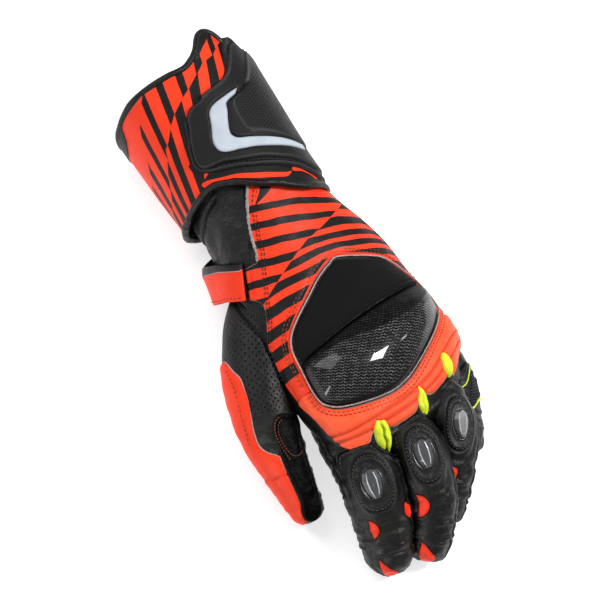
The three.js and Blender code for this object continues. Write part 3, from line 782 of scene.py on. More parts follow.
def red_leather(name, tones=(RED, LIGHT_RED)):
    """Plain red leather, a little darker towards its edges, with painted shade in its creases."""
    finish, _, color = red_grain(name, tones)
    color = finish.mix(finish.mask("edge").step(1.4, 0.0) * 0.3, color, DEEP_RED)
    # Painted shade: the creases are painted deep red.
    color = finish.mix(finish.mask("crease") * 0.75, color, linear(128, 18, 9))
    return red_gloss(finish, color)


# How sharp the edges of the printed bands are
PRINT_EDGE = 0.06


def printed_leather(name, zones):
    """Red leather printed with dark bands, in zones that each cover the earlier ones.

    Every zone has the share of its width that is dark. It lies where its mask "side" is above 0, and
    a whole number of its mask "phase" is the middle of a dark band."""
    finish, cells, red = red_grain(name)
    sway = (finish.noise(8, 2.0) - 0.5) * 0.05
    dark = None
    for place, share in enumerate(zones):
        here = float(share)
        if 0 < share < 1:
            wave = (finish.mask("phase_" + str(place)) + sway + 0.25).wave()
            shift = -math.cos(math.pi * share)
            here = (wave + shift).step(-PRINT_EDGE, PRINT_EDGE)
        if dark is None:
            dark = here
        else:
            cover = finish.mask("side_" + str(place)).step(-0.1, 0.1)
            dark = dark * (cover * -1.0 + 1.0) + cover * here
    black = finish.mix(cells.step(0.15, 0.8) * 0.3, PRINT_BLACK, linear(14, 12, 12))
    color = finish.mix(dark, red, black)
    # Painted shade: the creases are painted dark red.
    color = finish.mix(finish.mask("crease"), color, linear(60, 10, 6))
    return red_gloss(finish, color)


def fibrous(name, size, depth, low, tones, roughness, gloss):
    """The cut edge of leather: a tangle of fibres."""
    finish = Finish(name)
    fibres = finish.noise(size, 3.0, 0.7)
    finish.relief(fibres, depth)
    return finish.done(finish.mix(fibres.step(low, 0.7), *tones), roughness, specular_ior_level=gloss)


def thread(name, color, dark):
    """Waxed thread, twisted from plies."""
    finish = Finish(name)
    twist = finish.noise(0.35, 1.0)
    finish.relief(twist, 0.1)
    return finish.done(finish.mix(twist, dark, color), 0.55, specular_ior_level=0.3)


DOT_SPACING = 1.9


def moulded_armor():
    """Matte moulded rubbery plastic, with rows of small dots where the mask says."""
    finish = Finish("moulded_armor")
    across, along_it = finish.flat()
    x = (across / DOT_SPACING).fraction()
    y = (along_it / DOT_SPACING + 0.5 * (across / DOT_SPACING).math("FLOOR")).fraction()
    dots = round_dots(x, y).step(0.40, 0.2) * finish.mask("dots")
    finish.relief(dots, 0.3)
    finish.relief(finish.noise(0.5, 2.0), 0.05)
    finish.relief(finish.noise(7.0, 2.0), 0.12)
    scuffed = finish.noise(5, 4.0, 0.7).step(0.55, 0.85)
    color = finish.mix(scuffed, linear(25, 25, 26), linear(33, 33, 34))
    color = finish.mix(dots * 0.5, color, linear(48, 48, 50))
    # Painted highlight on the rims, edges and the ridge, and painted shade in the grooves.
    color = finish.mix(finish.mask("rim"), color, linear(84, 84, 87))
    color = finish.mix(finish.mask("crease"), color, linear(8, 8, 8))
    rough = finish.noise(3, 3.0).step(0.2, 0.9) * 0.12 + 0.44
    return finish.done(color, rough, specular_ior_level=0.16)


THREAD_PERIOD = 0.9


def reflective_inlay():
    """White reflective film with a fine woven backing."""
    finish = Finish("reflective_inlay")
    across, along_it = finish.flat()
    weave = (across.wave(THREAD_PERIOD) * along_it.wave(THREAD_PERIOD)).step(-0.8, 0.8)
    finish.relief(weave, 0.08)
    tone = finish.noise(9, 4.0, 0.6)
    color = finish.mix(tone.step(0.3, 0.75), linear(168, 176, 186), WHITE)
    color = finish.mix(weave * 0.3, color, linear(150, 159, 170))
    color = finish.mix(finish.mask("edge").step(0.7, 0.0) * 0.4, color, linear(112, 118, 127))
    return finish.done(color, 0.5, specular_ior_level=0.3)


def black_fabric():
    """Close-woven stretch fabric, matte, with a fine diagonal rib."""
    finish = Finish("black_fabric")
    across, along_it = finish.flat()
    rib = (across + along_it * 0.55).wave(0.95)
    cross = (across * 0.4 - along_it).wave(0.8)
    weave = (rib * 0.6 + cross * 0.4).step(-0.9, 0.9)
    finish.relief(weave, 0.1)
    finish.relief(finish.noise(5, 3.0), 0.2)
    color = finish.mix(weave, linear(8, 8, 9), linear(25, 25, 26))
    color = finish.mix(finish.noise(14, 3.0).step(0.4, 0.8) * 0.4, color, linear(24, 24, 25))
    return finish.done(color, 0.85, specular_ior_level=0.12, sheen_weight=0.04, sheen_roughness=0.4)


# Width of a column of the weave, step between its strokes, both in mm, and the turn of the cloth
TOW, STROKE, WEAVE_TURN = 1.25, 1.5, 0.58


def carbon_fibre():
    """Carbon cloth under a clear gloss coat: slanted strokes in columns that lean to and fro."""
    finish = Finish("carbon_fibre")
    across, along_it = finish.flat()
    x = across * math.cos(WEAVE_TURN) - along_it * math.sin(WEAVE_TURN)
    y = across * math.sin(WEAVE_TURN) + along_it * math.cos(WEAVE_TURN)
    column = x / TOW
    in_column = column.fraction()
    leaning = (column * 0.5).math("FRACT").step(0.49, 0.51) * 2.0 - 1.0
    sway = (finish.noise(2.2, 2.0) - 0.5) * 0.35
    stroke = (y / STROKE + in_column * leaning * 0.55 + sway).wave()
    edge = in_column * in_column * -4.0 + 1.0
    crown = stroke.step(0.1, 1.0) * edge.step(0.1, 0.8)
    plain = finish.mask("upper")
    woven = plain * -1.0 + 1.0
    finish.relief(crown * (woven + 0.15), 0.1)
    # Painted glints: in patches the crowns of the strokes are painted from dark grey to light grey.
    glint = finish.noise(3.5, 3.0, 0.7).step(0.3, 0.75)
    light = finish.mix(glint, linear(42, 42, 42), linear(118, 119, 118))
    color = finish.mix(crown, linear(3, 3, 3), light)
    color = finish.mix(plain * 0.75, color, linear(13, 13, 13))
    color = finish.mix(finish.mask("rim"), color, linear(8, 8, 8))
    rough = plain * 0.15 + 0.32
    return finish.done(color, rough, specular_ior_level=0.04, coat_weight=woven * 0.5 + 0.06,
                       coat_roughness=plain * 0.2 + 0.05, coat_ior=1.5)


def slider_plastic():
    """Hard black plastic, glossy, with scuffs from sliding."""
    finish = Finish("slider_plastic")
    finish.relief(finish.noise(1.2, 3.0), 0.03)
    scuffs = finish.noise(2.5, 4.0, 0.7, stretch=(1.0, 0.3, 1.0)).step(0.5, 0.8)
    color = finish.mix(scuffs, linear(62, 63, 66), linear(92, 93, 97))
    color = finish.mix(finish.mask("rim"), color, linear(10, 10, 11))
    # Painted highlight: the bevel rings are painted pale grey.
    color = finish.mix(finish.mask("bevel"), color, linear(168, 170, 174))
    rough = scuffs * 0.18 + 0.24
    return finish.done(color, rough, specular_ior_level=0.5, coat_weight=0.4, coat_roughness=0.12)


def neon_leather():
    """Bright yellow leather, with painted shade, darker and greener, in its folds."""
    finish = Finish("neon_leather")
    cells = grain(finish, 0.7, 0.07)
    tone = finish.noise(8, 3.0).step(0.3, 0.8)
    color = finish.mix(tone, NEON, linear(196, 216, 36))
    color = finish.mix(cells.step(0.2, 0.8) * 0.15, color, linear(150, 166, 20))
    # Painted shade: the folds are painted dark olive.
    color = finish.mix(finish.mask("fold"), color, linear(70, 80, 12))
    return finish.done(color, 0.55, specular_ior_level=0.25)


def stretch_fabric():
    """Grey elastic fabric between the panels of the little finger, ribbed along one way."""
    finish = Finish("stretch_fabric")
    rib = finish.flat()[1].wave(1.5).step(-0.8, 0.8)
    finish.relief(rib, 0.2)
    color = finish.mix(rib, linear(24, 25, 29), linear(50, 52, 58))
    return finish.done(color, 0.8, specular_ior_level=0.15)


# Stitches, cords and strips
# A stitch has this many sides, and rings given by their share of its length and, in radii of the
# thread, their height and their girth.
STITCH_SIDES = 6
STITCH_RINGS = (
    (0.0, -0.5, 0.5), (0.14, 0.35, 0.9), (0.5, 1.0, 1.05), (0.86, 0.35, 0.9), (1.0, -0.5, 0.5),
)


def sew(name, lines, material, length, gap, radius):
    """Rows of stitches, each a short spindle of thread that dips into the leather at both ends.

    A line is (points, normals) in mm."""
    lift = 0.12
    points, faces = [], []
    turn = np.linspace(0, 2 * math.pi, STITCH_SIDES, endpoint=False)
    for line, normals in lines:
        run = np.concatenate([[0], np.cumsum(np.linalg.norm(np.diff(line, axis=0), axis=1))])
        count = int(run[-1] / (length + gap))
        for i in range(count):
            start = (i + 0.5) * run[-1] / count - length / 2
            at = np.array([start, start + length])
            a, b = (np.array([np.interp(s, run, line[:, k]) for k in range(3)]) for s in at)
            up = np.array([np.interp(at.mean(), run, normals[:, k]) for k in range(3)])
            forward = (b - a) / (np.linalg.norm(b - a) + 1e-9)
            up = up - forward * (up @ forward)
            up /= np.linalg.norm(up) + 1e-9
            across = np.cross(forward, up)
            first = len(points)
            for share, height, girth in STITCH_RINGS:
                middle = a + (b - a) * share + up * (height * radius + lift)
                for angle in turn:
                    around = across * math.cos(angle) + up * math.sin(angle) * 0.85
                    points.append(middle + radius * girth * around)
            faces += grid_faces(len(STITCH_RINGS), STITCH_SIDES, first, closed=True)
            last = first + (len(STITCH_RINGS) - 1) * STITCH_SIDES
            faces.append(tuple(range(first + STITCH_SIDES - 1, first - 1, -1)))
            faces.append(tuple(range(last, last + STITCH_SIDES)))
    return make_piece(name, np.array(points), faces, [material])


def normals_at(surface, flat, reach=0.4):
    """The directions out of a surface at flat points."""
    across = surface(flat[:, 0] + reach, flat[:, 1]) - surface(flat[:, 0] - reach, flat[:, 1])
    along_it = surface(flat[:, 0], flat[:, 1] + reach) - surface(flat[:, 0], flat[:, 1] - reach)
    normal = np.cross(across, along_it)
    lift = surface(flat[:, 0], flat[:, 1], 3.0) - surface(flat[:, 0], flat[:, 1], 0.0)
    normal *= np.sign((normal * lift).sum(1))[:, None]
    return normal / (np.linalg.norm(normal, axis=1, keepdims=True) + 1e-9)


def raised(surface, line, over):
    """A flat line at a height over a surface, as points and normals."""
    return surface(line[:, 0], line[:, 1], over), normals_at(surface, line)


def laid(surface, line, over):
    """The same for a line that is smoothed first."""
    return raised(surface, smooth_line(line, 0.8, closed=False), over)


def tube(name, line, radius, material, sides=10, closed=False, flatten=1.0, **options):
    """A cord or a rolled binding along a line, which is (points, normals) in mm.

    Its radius may be a number or one for each point."""
    centre, normals = line
    count = len(centre)
    if closed:
        along_it = np.roll(centre, -1, axis=0) - np.roll(centre, 1, axis=0)
    else:
        along_it = np.gradient(centre, axis=0)
    along_it /= np.linalg.norm(along_it, axis=1, keepdims=True)
    up = normals - along_it * (normals * along_it).sum(1, keepdims=True)
    up /= np.linalg.norm(up, axis=1, keepdims=True)
    across = np.cross(along_it, up)
    radius = np.broadcast_to(np.asarray(radius, float), (count,))
    turn = np.linspace(0, 2 * math.pi, sides, endpoint=False)
    ring = across[:, None] * np.cos(turn)[None, :, None]
    ring = ring + up[:, None] * (np.sin(turn) * flatten)[None, :, None]
    points = centre[:, None] + ring * radius[:, None, None]
    run = np.concatenate([[0], np.cumsum(np.linalg.norm(np.diff(centre, axis=0), axis=1))])
    uv = np.stack(np.broadcast_arrays(turn[None] * 2.0, run[:, None]), -1).reshape(-1, 2)
    points = points.reshape(-1, 3)
    faces = grid_faces(count, sides, closed=True)
    if closed:
        last = (count - 1) * sides
        faces += [(last + j, last + (j + 1) % sides, (j + 1) % sides, j) for j in range(sides)]
    else:
        faces.append(tuple(range(sides - 1, -1, -1)))
        faces.append(tuple(range((count - 1) * sides, count * sides)))
    return make_piece(name, points, faces, [material], print_uv=uv, **options)


# The cuff, with lines and outlines as an angle and a place along it
CUFF_FLIP = table("angle y", [
    (-180, 10), (-120, 25), (-92, 35), (-88, 36.5), (-80, 41), (-77, 43), (-70, 48), (-60, 54.5),
    (-57, 58.5), (-50, 61), (-40, 67), (-32, 71.5), (-19, 77), (-11, 80), (0, 86), (5, 89.5), (17, 92),
    (25, 96), (90, 120), (180, 150),
])
UPPER_BANDS, UPPER_LEAN = (-77.5, -63, -47, -29.5, -11.8, 2.5, 18.5, 33), 0.31
LOWER_BANDS, LOWER_LEAN = (-58, -46.5, -34, -18.5, -2, 12.5, 27), 0.5
LEAN_FROM = 90
# Above the first line all is red, and above the second one the binding's black leather begins.
PLAIN_ABOVE = table("angle y", [
    (-180, 50), (-110, 50), (-90, 57), (-84, 61.5), (-66, 77.5), (-45, 91), (-43, 130), (180, 130),
])
BOUND_ABOVE = table("angle y", [
    (-180, 73), (-110, 74.5), (-100, 75), (-95, 76.5), (-90, 79), (-85, 86), (-80, 87), (-60, 88.8),
    (-40, 90.8), (-20, 92), (0, 93.4), (6, 94.5), (12, 98), (18, 101), (22.5, 104), (26, 104.5),
    (32, 99), (40, 91), (50, 85), (90, 81), (135, 77), (180, 73),
])
# Under the armour the print is dark with red bands, on this stretch.
ARMOR_FOOT = table("angle y", [
    (-180, 42), (-45.6, 41.6), (-41.4, 37.5), (-33, 33.7), (-19.2, 29.3), (-5.4, 24.9), (3.6, 22.3),
    (15.6, 19.7), (25.2, 18), (33.6, 16.3), (44.4, 13.3), (55.8, 10.2), (180, 10),
])
LOW_FROM_ANGLE, LOW_TO_ANGLE = -48, 112
LOW_BANDS_RED = (
    [(-47.5, 30.8), (-41.9, 30.8), (-28.8, 27.8), (-16.3, 25.1), (-3.8, 20.8), (8.8, 16), (17.5, 13.8),
     (22, 13.8), (22, 13.8), (21, 12.9), (21, 12.9), (15, 11.6), (7.5, 13.3), (-3.8, 17.3), (-16.3, 22.1),
     (-28.8, 24.7), (-40, 27.3), (-47.5, 28.6), (-47.5, 28.6)],
    [(23, 14.2), (28.8, 16), (37.5, 12.9), (46.3, 9.4), (51.3, 5.9), (51.3, 5.9), (47.5, 5), (47.5, 5),
     (40, 8.9), (32.5, 11.6), (23.8, 13.3)],
    [(-42.5, 32.1), (-42.5, 32.1), (-36, 33.9), (-36, 33.9), (-40, 34.8), (-40, 34.8)],
)
# The dark share of each zone: past the flip, plain, before the flip, under the armour, its red bands
# and the binding's black leather
CUFF_ZONES = (0.37, 0.0, 0.53, 1.0, 0.0, 1.0)
CUFF_COLUMNS, CUFF_ROWS, CUFF_LINING_ROWS = 300, 110, 30


def cuff_masks(u, v):
    """Where the bands of the cuff's print lie, and where each of its zones does."""
    angle = u / SLEEVE_ARC
    upper = counted(angle - UPPER_LEAN * (v - LEAN_FROM), UPPER_BANDS)
    lower = counted(angle - LOWER_LEAN * (v - LEAN_FROM), LOWER_BANDS)
    low = fall(ARMOR_FOOT, angle) + 2 - v
    low = np.minimum(low, np.minimum(angle - LOW_FROM_ANGLE, LOW_TO_ANGLE - angle) * SLEEVE_ARC)
    flat = np.stack([u, v], -1)
    red = np.max([signed(flat, sleeve_line(ring, 0.5, True)) for ring in LOW_BANDS_RED], 0)
    return {
        "phase_0": upper, "phase_2": lower,
        "side_1": v - fall(PLAIN_ABOVE, angle),
        "side_2": fall(CUFF_FLIP, angle) - v,
        "side_3": low,
        "side_4": np.minimum(red, low),
        "side_5": v - fall(BOUND_ABOVE, angle),
    }


def cuff_folds(u, v):
    """Soft waves of worn leather, weaker under the armour."""
    place = np.stack([u, v], -1)
    wave = 0.55 * noise(place, 26, 1) + 0.25 * noise(place, 11, 2)
    free = smooth(-18, -34, u) + smooth(66, 80, u)
    bound = smooth(-0.3, 0.4, v - fall(BOUND_ABOVE, u / SLEEVE_ARC))
    return wave * (0.25 + 0.75 * np.clip(free, 0, 1)) + 0.7 * bound


def build_cuff():
    angle = np.linspace(-180, 180, CUFF_COLUMNS, endpoint=False)
    mouth = along(EDGES, "angle", angle, "mouth")
    hem = along(EDGES, "angle", angle, "hem")
    share = np.linspace(0, 1, CUFF_ROWS)[:, None]
    v = hem + (mouth - hem) * share
    u = np.broadcast_to(angle * SLEEVE_ARC, v.shape)
    outer = cuff_surface(u, v, cuff_folds(u, v) - 0.15).reshape(-1, 3)
    v_in = hem + (mouth - hem) * np.linspace(1, 0, CUFF_LINING_ROWS)[:, None]
    u_in = np.broadcast_to(angle * SLEEVE_ARC, v_in.shape)
    inner = cuff_surface(u_in, v_in, -LEATHER).reshape(-1, 3)
    points = np.concatenate([outer, inner])
    faces = grid_faces(CUFF_ROWS, CUFF_COLUMNS, closed=True)
    printed = len(faces)
    faces += grid_faces(CUFF_LINING_ROWS + 1, CUFF_COLUMNS, (CUFF_ROWS - 1) * CUFF_COLUMNS, closed=True)
    last = len(points) - CUFF_COLUMNS
    for j in range(CUFF_COLUMNS):
        after = (j + 1) % CUFF_COLUMNS
        faces.append((last + j, last + after, after, j))
    kinds = [0] * printed + [1] * (len(faces) - printed)
    uv = np.concatenate([flat_rows(u, v), flat_rows(u_in, v_in)])
    masks = cuff_masks(uv[:, 0], uv[:, 1])
    masks["holes"] = np.zeros(len(uv))
    make_piece("cuff_leather", points, faces, [CUFF_PRINT, BLACK_LEATHER], replaced=["cuff"],
               slot="printed_leather", print_uv=uv, masks=masks, face_materials=kinds)


def edge_line(name, offset, over, step=1.0):
    """A line round the cuff at one of its edges, moved along the cuff by an offset at each angle."""
    angle = np.arange(-180, 180, step)
    v = along(EDGES, "angle", angle, name) + offset(angle)
    flat = np.stack([angle * SLEEVE_ARC, v], -1)
    return cuff_surface(flat[:, 0], flat[:, 1], over), normals_at(cuff_surface, flat)


def hem_rise(angle):
    """The hem is drawn up a little under the armour."""
    left = 1.2 * smooth(-110, -95, angle) * smooth(-36, -62, angle)
    return -1.4 + left + 2.3 * smooth(-62, -36, angle) * smooth(70, 45, angle)


BINDING_SIDES, HEM_SIDES = 14, 18


def build_cuff_edges():
    """The wrinkled binding round the cuff's mouth and the padded piping along its hem."""
    centre, normals = edge_line("mouth", lambda angle: 0.3 + 0 * angle, -LEATHER / 2)
    wobble = noise(centre, 6, 3)
    line = centre + normals * (wobble * 0.12)[:, None], normals
    tube("cuff_binding", line, 1.9 + 0.1 * wobble, BLACK_LEATHER, sides=BINDING_SIDES, closed=True,
         flatten=0.95, replaced=["cuff_rim_binding"], slot="black_leather",
         masks={"holes": np.zeros(len(centre) * BINDING_SIDES)})
    centre, normals = edge_line("hem", hem_rise, -0.4, 0.75)
    wrinkle = noise(centre, 3.2, 4) * 0.22 + noise(centre, 9, 5) * 0.25
    hem = tube("cuff_hem_piping", (centre, normals), 2.0 + wrinkle, BLACK_LEATHER, sides=HEM_SIDES,
               closed=True, replaced=["cuff_edge_piping"], slot="black_leather",
               masks={"holes": np.zeros(len(centre) * HEM_SIDES)})


# The armour plate: its flange, the raised panel on it, the chevron let into that, and the pad
ARMOR_FLANGE = [
    (37.5, 100.2), (29.8, 94.5), (26.2, 89.4), (20.7, 84.3), (17.1, 80.4), (11.6, 77.3), (2.5, 75.4),
    (-4.7, 73.8), (-12, 71.5), (-20.2, 69.3), (-25.6, 66.4), (-30.2, 63.3), (-32.5, 59.4), (-35.2, 55),
    (-38.4, 51.2), (-42, 44.8), (-43.4, 41.6), (-42.5, 38.4), (-39.7, 35.6), (-35.6, 34), (-30.2, 32.1),
    (-20.2, 29.8), (-11.1, 27.6), (-2.9, 24.8), (7.1, 21.3), (18, 18.1), (25.3, 15.8), (32.5, 13.6),
    (39.8, 10.4), (48, 7.5), (56, 5.5), (70, 4), (91, 4), (91, 4), (91, 84), (91, 84), (75, 86.5),
    (57, 92), (49, 95.5), (43, 99.5),
]
ARMOR_PANEL = [
    (34.5, 93.2), (32.5, 91.9), (28, 88.1), (23.5, 84.3), (17.1, 78.9), (11.6, 76.3), (2.5, 74.1),
    (-6.5, 72.2), (-10.2, 69.9), (-17.5, 68.7), (-22, 66.8), (-25.6, 63.9), (-27.9, 60.1),
    (-31.1, 55.6), (-34.7, 50.5), (-37.5, 45.4), (-39, 41.6), (-38.4, 38.4), (-34.7, 36.2),
    (-28.4, 35.2), (-20, 34.2), (-11, 31.5), (-2, 29), (4.4, 27), (11.6, 24.4), (18.9, 22.2),
    (25.3, 20.6), (33, 18), (40, 15), (50, 12), (60, 10), (91, 9), (91, 9), (91, 78), (91, 78),
    (75, 81), (57, 86.5), (46, 91.5), (39, 94.5),
]
CHEVRON = [
    (15.7, 68), (15.7, 68), (10.7, 67.4), (2.5, 66.1), (-2.9, 64.9), (-6.5, 63.6), (-9.7, 61), (-12, 56.9),
    (-14.7, 52.4), (-17.9, 48), (-19.3, 44.2), (-18.8, 41), (-17, 39.1), (-12.9, 37.5), (-4.7, 35.9),
    (2.5, 34), (11.6, 31.4), (20.7, 29.2), (29.8, 27.3), (38.9, 25.4), (48, 23.9), (55.3, 23.5),
    (55.3, 23.5), (55.3, 27.3), (55.3, 27.3), (48, 27.9), (38.9, 29.8), (29.8, 32.1), (20.7, 34.6),
    (11.6, 37.2), (4.4, 39.4), (-1.1, 41.3), (-3.8, 42.9), (-5.2, 45.4), (-4.7, 48), (-2.5, 52.4),
    (-0.2, 56.9), (1.2, 60.1), (2.5, 62.6), (6.2, 64.2), (11.6, 65.5),
]
PAD = [
    (4.4, 52), (5, 57), (7.1, 61.7), (11.6, 63.3), (18, 64.9), (23.5, 67.7), (28, 70.3), (35.3, 76),
    (44.4, 83.6), (52.5, 88), (60, 86), (78, 78), (88, 70), (88, 32), (75, 27), (60, 27), (42.5, 30.8),
    (33.5, 33.3), (24.4, 36.5), (15.3, 39.7), (7.1, 42.3), (5, 45),
]
RIDGE_LINE = [(27.5, 70.3), (35.3, 76), (44.4, 83.6), (52.5, 89.4), (57.1, 91.9)]
NOTCH_LINE = [(15.3, 65.2), (20.7, 66.4), (26.2, 69.3)]
# The stitch row under the raised panel follows the middle of its lower side.
PLATE_STITCHES = [(-27.5, 33.6), (-20.2, 32.3), (-11.1, 29.6)]
PLATE_STITCHES += [(angle, v - 2) for angle, v in ARMOR_PANEL[22:29]]


def build_armor():
    inner = sleeve_line(ARMOR_PANEL, 0.6, True)
    white = sleeve_line(CHEVRON, 0.5, True)
    pad = sleeve_line(PAD, 0.6, True)
    crest = sleeve_line(RIDGE_LINE, 0.7)
    notch = sleeve_line(NOTCH_LINE, 0.7)

    def relief(flat, edge):
        """Heights in mm of the flange and its rim, the groove, the panel, the pad and what cuts them."""
        within = signed(flat, inner)
        height = 1.7 * smooth(-0.1, 0.7, edge) + 0.55 * ridge(edge, 1.3, 0.8)
        height = height - 1.1 * ridge(within, -0.75, 0.5)
        height = height + 1.9 * smooth(-0.35, 0.55, within)
        height = height + 0.9 * smooth(-0.3, 0.7, signed(flat, pad))
        height = height + 0.9 * ridge(edge_distance(flat, crest, False), 0, 0.9)
        height = height - 1.1 * ridge(edge_distance(flat, notch, False), 0, 1.0)
        height = height - 1.0 * smooth(-0.95, -0.25, signed(flat, white))
        return height + 0.06 * noise(flat, 6, 6)

    def masks(flat, edge):
        """The rims, the edges and the ridge get painted highlights, and the grooves get painted shade."""
        within = signed(flat, inner)
        on_pad = signed(flat, pad)
        painted_highlight = 0.3 * ridge(edge, 1.0, 0.5) + 0.45 * ridge(within, 0.5, 0.35)
        painted_highlight = painted_highlight + 0.5 * ridge(on_pad, 0.2, 0.3)
        painted_highlight = painted_highlight + 0.8 * ridge(edge_distance(flat, crest, False), 0, 0.5)
        dark = ridge(within, -0.7, 0.45) + ridge(edge_distance(flat, notch, False), 0, 0.8)
        dark = dark + smooth(-1.1, -0.5, signed(flat, white))
        return {"dots": smooth(0.8, 1.6, on_pad), "rim": np.clip(painted_highlight, 0, 1),
                "crease": np.clip(dark, 0, 1)}

    panel("cuff_armor_plate", cuff_surface, flat_points(ARMOR_FLANGE), relief, [ARMOR_PLASTIC],
          spacing=0.75, masks=masks, replaced=["cuff_armor"], slot="moulded_armor")

    def white_relief(flat, edge):
        return 3.1 + 0.4 * smooth(0, 0.8, edge) + 0.08 * noise(flat, 5, 7)

    panel("chevron_film", cuff_surface, flat_points(CHEVRON), white_relief, [INLAY], spacing=0.9,
          bevel=0.2, sunk=-2.0, replaced=["chevron_inlay"], slot="reflective_inlay")
    rows = [laid(cuff_surface, flat_points(PLATE_STITCHES), 1.9)]
    sew("plate_stitches", rows, BLACK_THREAD, 1.9, 0.9, 0.3)


# The dark share of each zone on the hand: past the flip, before it, the corner next to the wrist, the
# wedge in it, and the rim next to the knuckles
HAND_ZONES = (0.41, 0.56, 0.0, 1.0, 0.0)

# Materials shared by the pieces
BLACK_LEATHER = black_leather()
# Painted shade: a darker, duller copy of the black leather for the thumb's black patch, which lies in shade.
SHADED_LEATHER = black_leather("shaded_leather", 0.04, (SHADE_BLACK, SHADE_DIM_BLACK))
RED_LEATHER = red_leather("red_leather")
PALE_RED_LEATHER = red_leather("pale_red_leather", (linear(238, 82, 46), linear(246, 94, 58)))
CUFF_PRINT = printed_leather("cuff_print", CUFF_ZONES)
HAND_PRINT = printed_leather("hand_print", HAND_ZONES)
RAW = fibrous("raw_edge", 0.5, 0.25, 0.35, (linear(120, 108, 108), RAW_EDGE), 0.92, 0.15)
DARK_EDGE = fibrous("dark_edge", 0.6, 0.2, 0.35, (linear(18, 17, 17), linear(52, 48, 48)), 0.9, 0.2)
ARMOR_PLASTIC = moulded_armor()
INLAY = reflective_inlay()
FABRIC = black_fabric()
CARBON = carbon_fibre()
SLIDER = slider_plastic()
YELLOW = neon_leather()
TRIM = fibrous("grey_trim", 0.7, 0.12, 0.3, (linear(120, 100, 96), linear(186, 170, 166)), 0.7, 0.25)
STRETCH = stretch_fabric()
BLACK_THREAD = thread("black_thread", linear(44, 42, 41), linear(12, 12, 12))
RED_THREAD = thread("red_thread", linear(172, 30, 16), linear(96, 16, 9))
GREY_THREAD = thread("grey_thread", linear(82, 82, 84), linear(26, 26, 27))
BROWN_THREAD = thread("brown_thread", linear(150, 84, 52), linear(74, 36, 20))


# The hand, and the seam across its wrist next to the thumb
WRIST_SEAM = np.array(flat_points([(-125, 2), (-103, 8.4), (-89.4, 13.2), (-70, 18), (-50, 21)]))
HAND_COLUMNS, HAND_ROWS, HAND_END_ROWS, HAND_LINING_ROWS = 240, 172, 14, 40
# Where the hand starts and ends along it, how deep its lining goes, and its rounded end's middle
HAND_START, HAND_END, LINING_END = 62, -138, -134
END_MIDDLE, END_REACH = np.array([13.0, -138.0, 33.0]), 7.0


def hand_relief(u, v):
    """Soft folds of the black leather, deepest at the wrist."""
    place = np.stack([u, v], -1)
    wave = 0.45 * noise(place, 24, 11) + 0.22 * noise(place, 9, 12)
    slanted = np.stack([(u + v * 0.5) / 2.0, v - u * 0.5], -1)
    wrist = smooth(-38, -22, v) * smooth(34, 18, v) * smooth(-15, -35, u / SLEEVE_ARC)
    creases = 0.9 * noise(slanted, 8, 13) + 0.45 * noise(slanted, 4, 14)
    seam = edge_distance(flat_rows(u, v), WRIST_SEAM, False).reshape(u.shape)
    return wave + wrist * creases - 0.9 * ridge(seam, 0, 0.9)


def build_hand():
    around = np.linspace(-180, 180, HAND_COLUMNS, endpoint=False) * SLEEVE_ARC
    v = np.concatenate([np.linspace(HAND_START, HAND_END, HAND_ROWS), np.full(HAND_END_ROWS, HAND_END)])
    ahead = np.linspace(0, 1, HAND_END_ROWS + 1)[1:]
    ahead = np.concatenate([np.zeros(HAND_ROWS), ahead])[:, None, None]
    u, v = np.meshgrid(around, v)
    outer = hand_surface(u, v, hand_relief(u, v))
    shrink = np.cos(ahead * math.pi / 2 * 0.93) ** 0.55
    drawn_in = END_MIDDLE + (outer - END_MIDDLE) * shrink + ahead * np.array([0.0, -END_REACH, 0.0])
    outer = np.where(ahead > 0, drawn_in, outer)
    u_in, v_in = np.meshgrid(around, np.linspace(LINING_END, HAND_START, HAND_LINING_ROWS))
    points, faces = capped_wall(outer, hand_surface(u_in, v_in, -LEATHER))
    flat = np.concatenate([flat_rows(u, v), flat_rows(u_in, v_in)])
    seam = edge_distance(flat, WRIST_SEAM, False)
    # Painted shade along the wrist seam.
    masks = {"holes": perforated(flat), "crease": 0.7 * ridge(seam, 0, 0.8)}
    make_piece("hand_leather", points, faces, [BLACK_LEATHER],
               replaced=["wrist_sleeve", "palm", "hand_back"],
               slot="black_leather", print_uv=flat, masks=masks)


def perforated(flat):
    """Where the black leather of the hand is punched: the wrist and the side next to the thumb."""
    angle = flat[:, 0] / SLEEVE_ARC
    left = smooth(-30, -34, angle) * smooth(-112, -108, angle)
    wrist = 1 - 0.45 * smooth(-24, -16, flat[:, 1])
    return left * wrist * smooth(-112, -108, flat[:, 1]) * smooth(40, 34, flat[:, 1])


# The fingers and the thumb
# Each oval and slider by its place along the finger, its angle round it and its half sizes in mm
OVALS = {
    "index": dict(at=2.34, turn=-6, long=11.6, wide=8.4),
    "middle": dict(at=2.14, turn=-6, long=10.6, wide=8.2),
    "ring": dict(at=2.2, turn=1.5, long=10.6, wide=7.8),
}
SLIDERS = {
    "index": dict(at=2.3, turn=-6, long=9.4, wide=6.6, high=4.2),
    "middle": dict(at=2.13, turn=-6, long=9.2, wide=6.4, high=4.2),
    "ring": dict(at=2.18, turn=2, long=9.0, wide=5.8, high=4.0),
}
# How far round a finger its side seams run
SEAM_ANGLE = 62
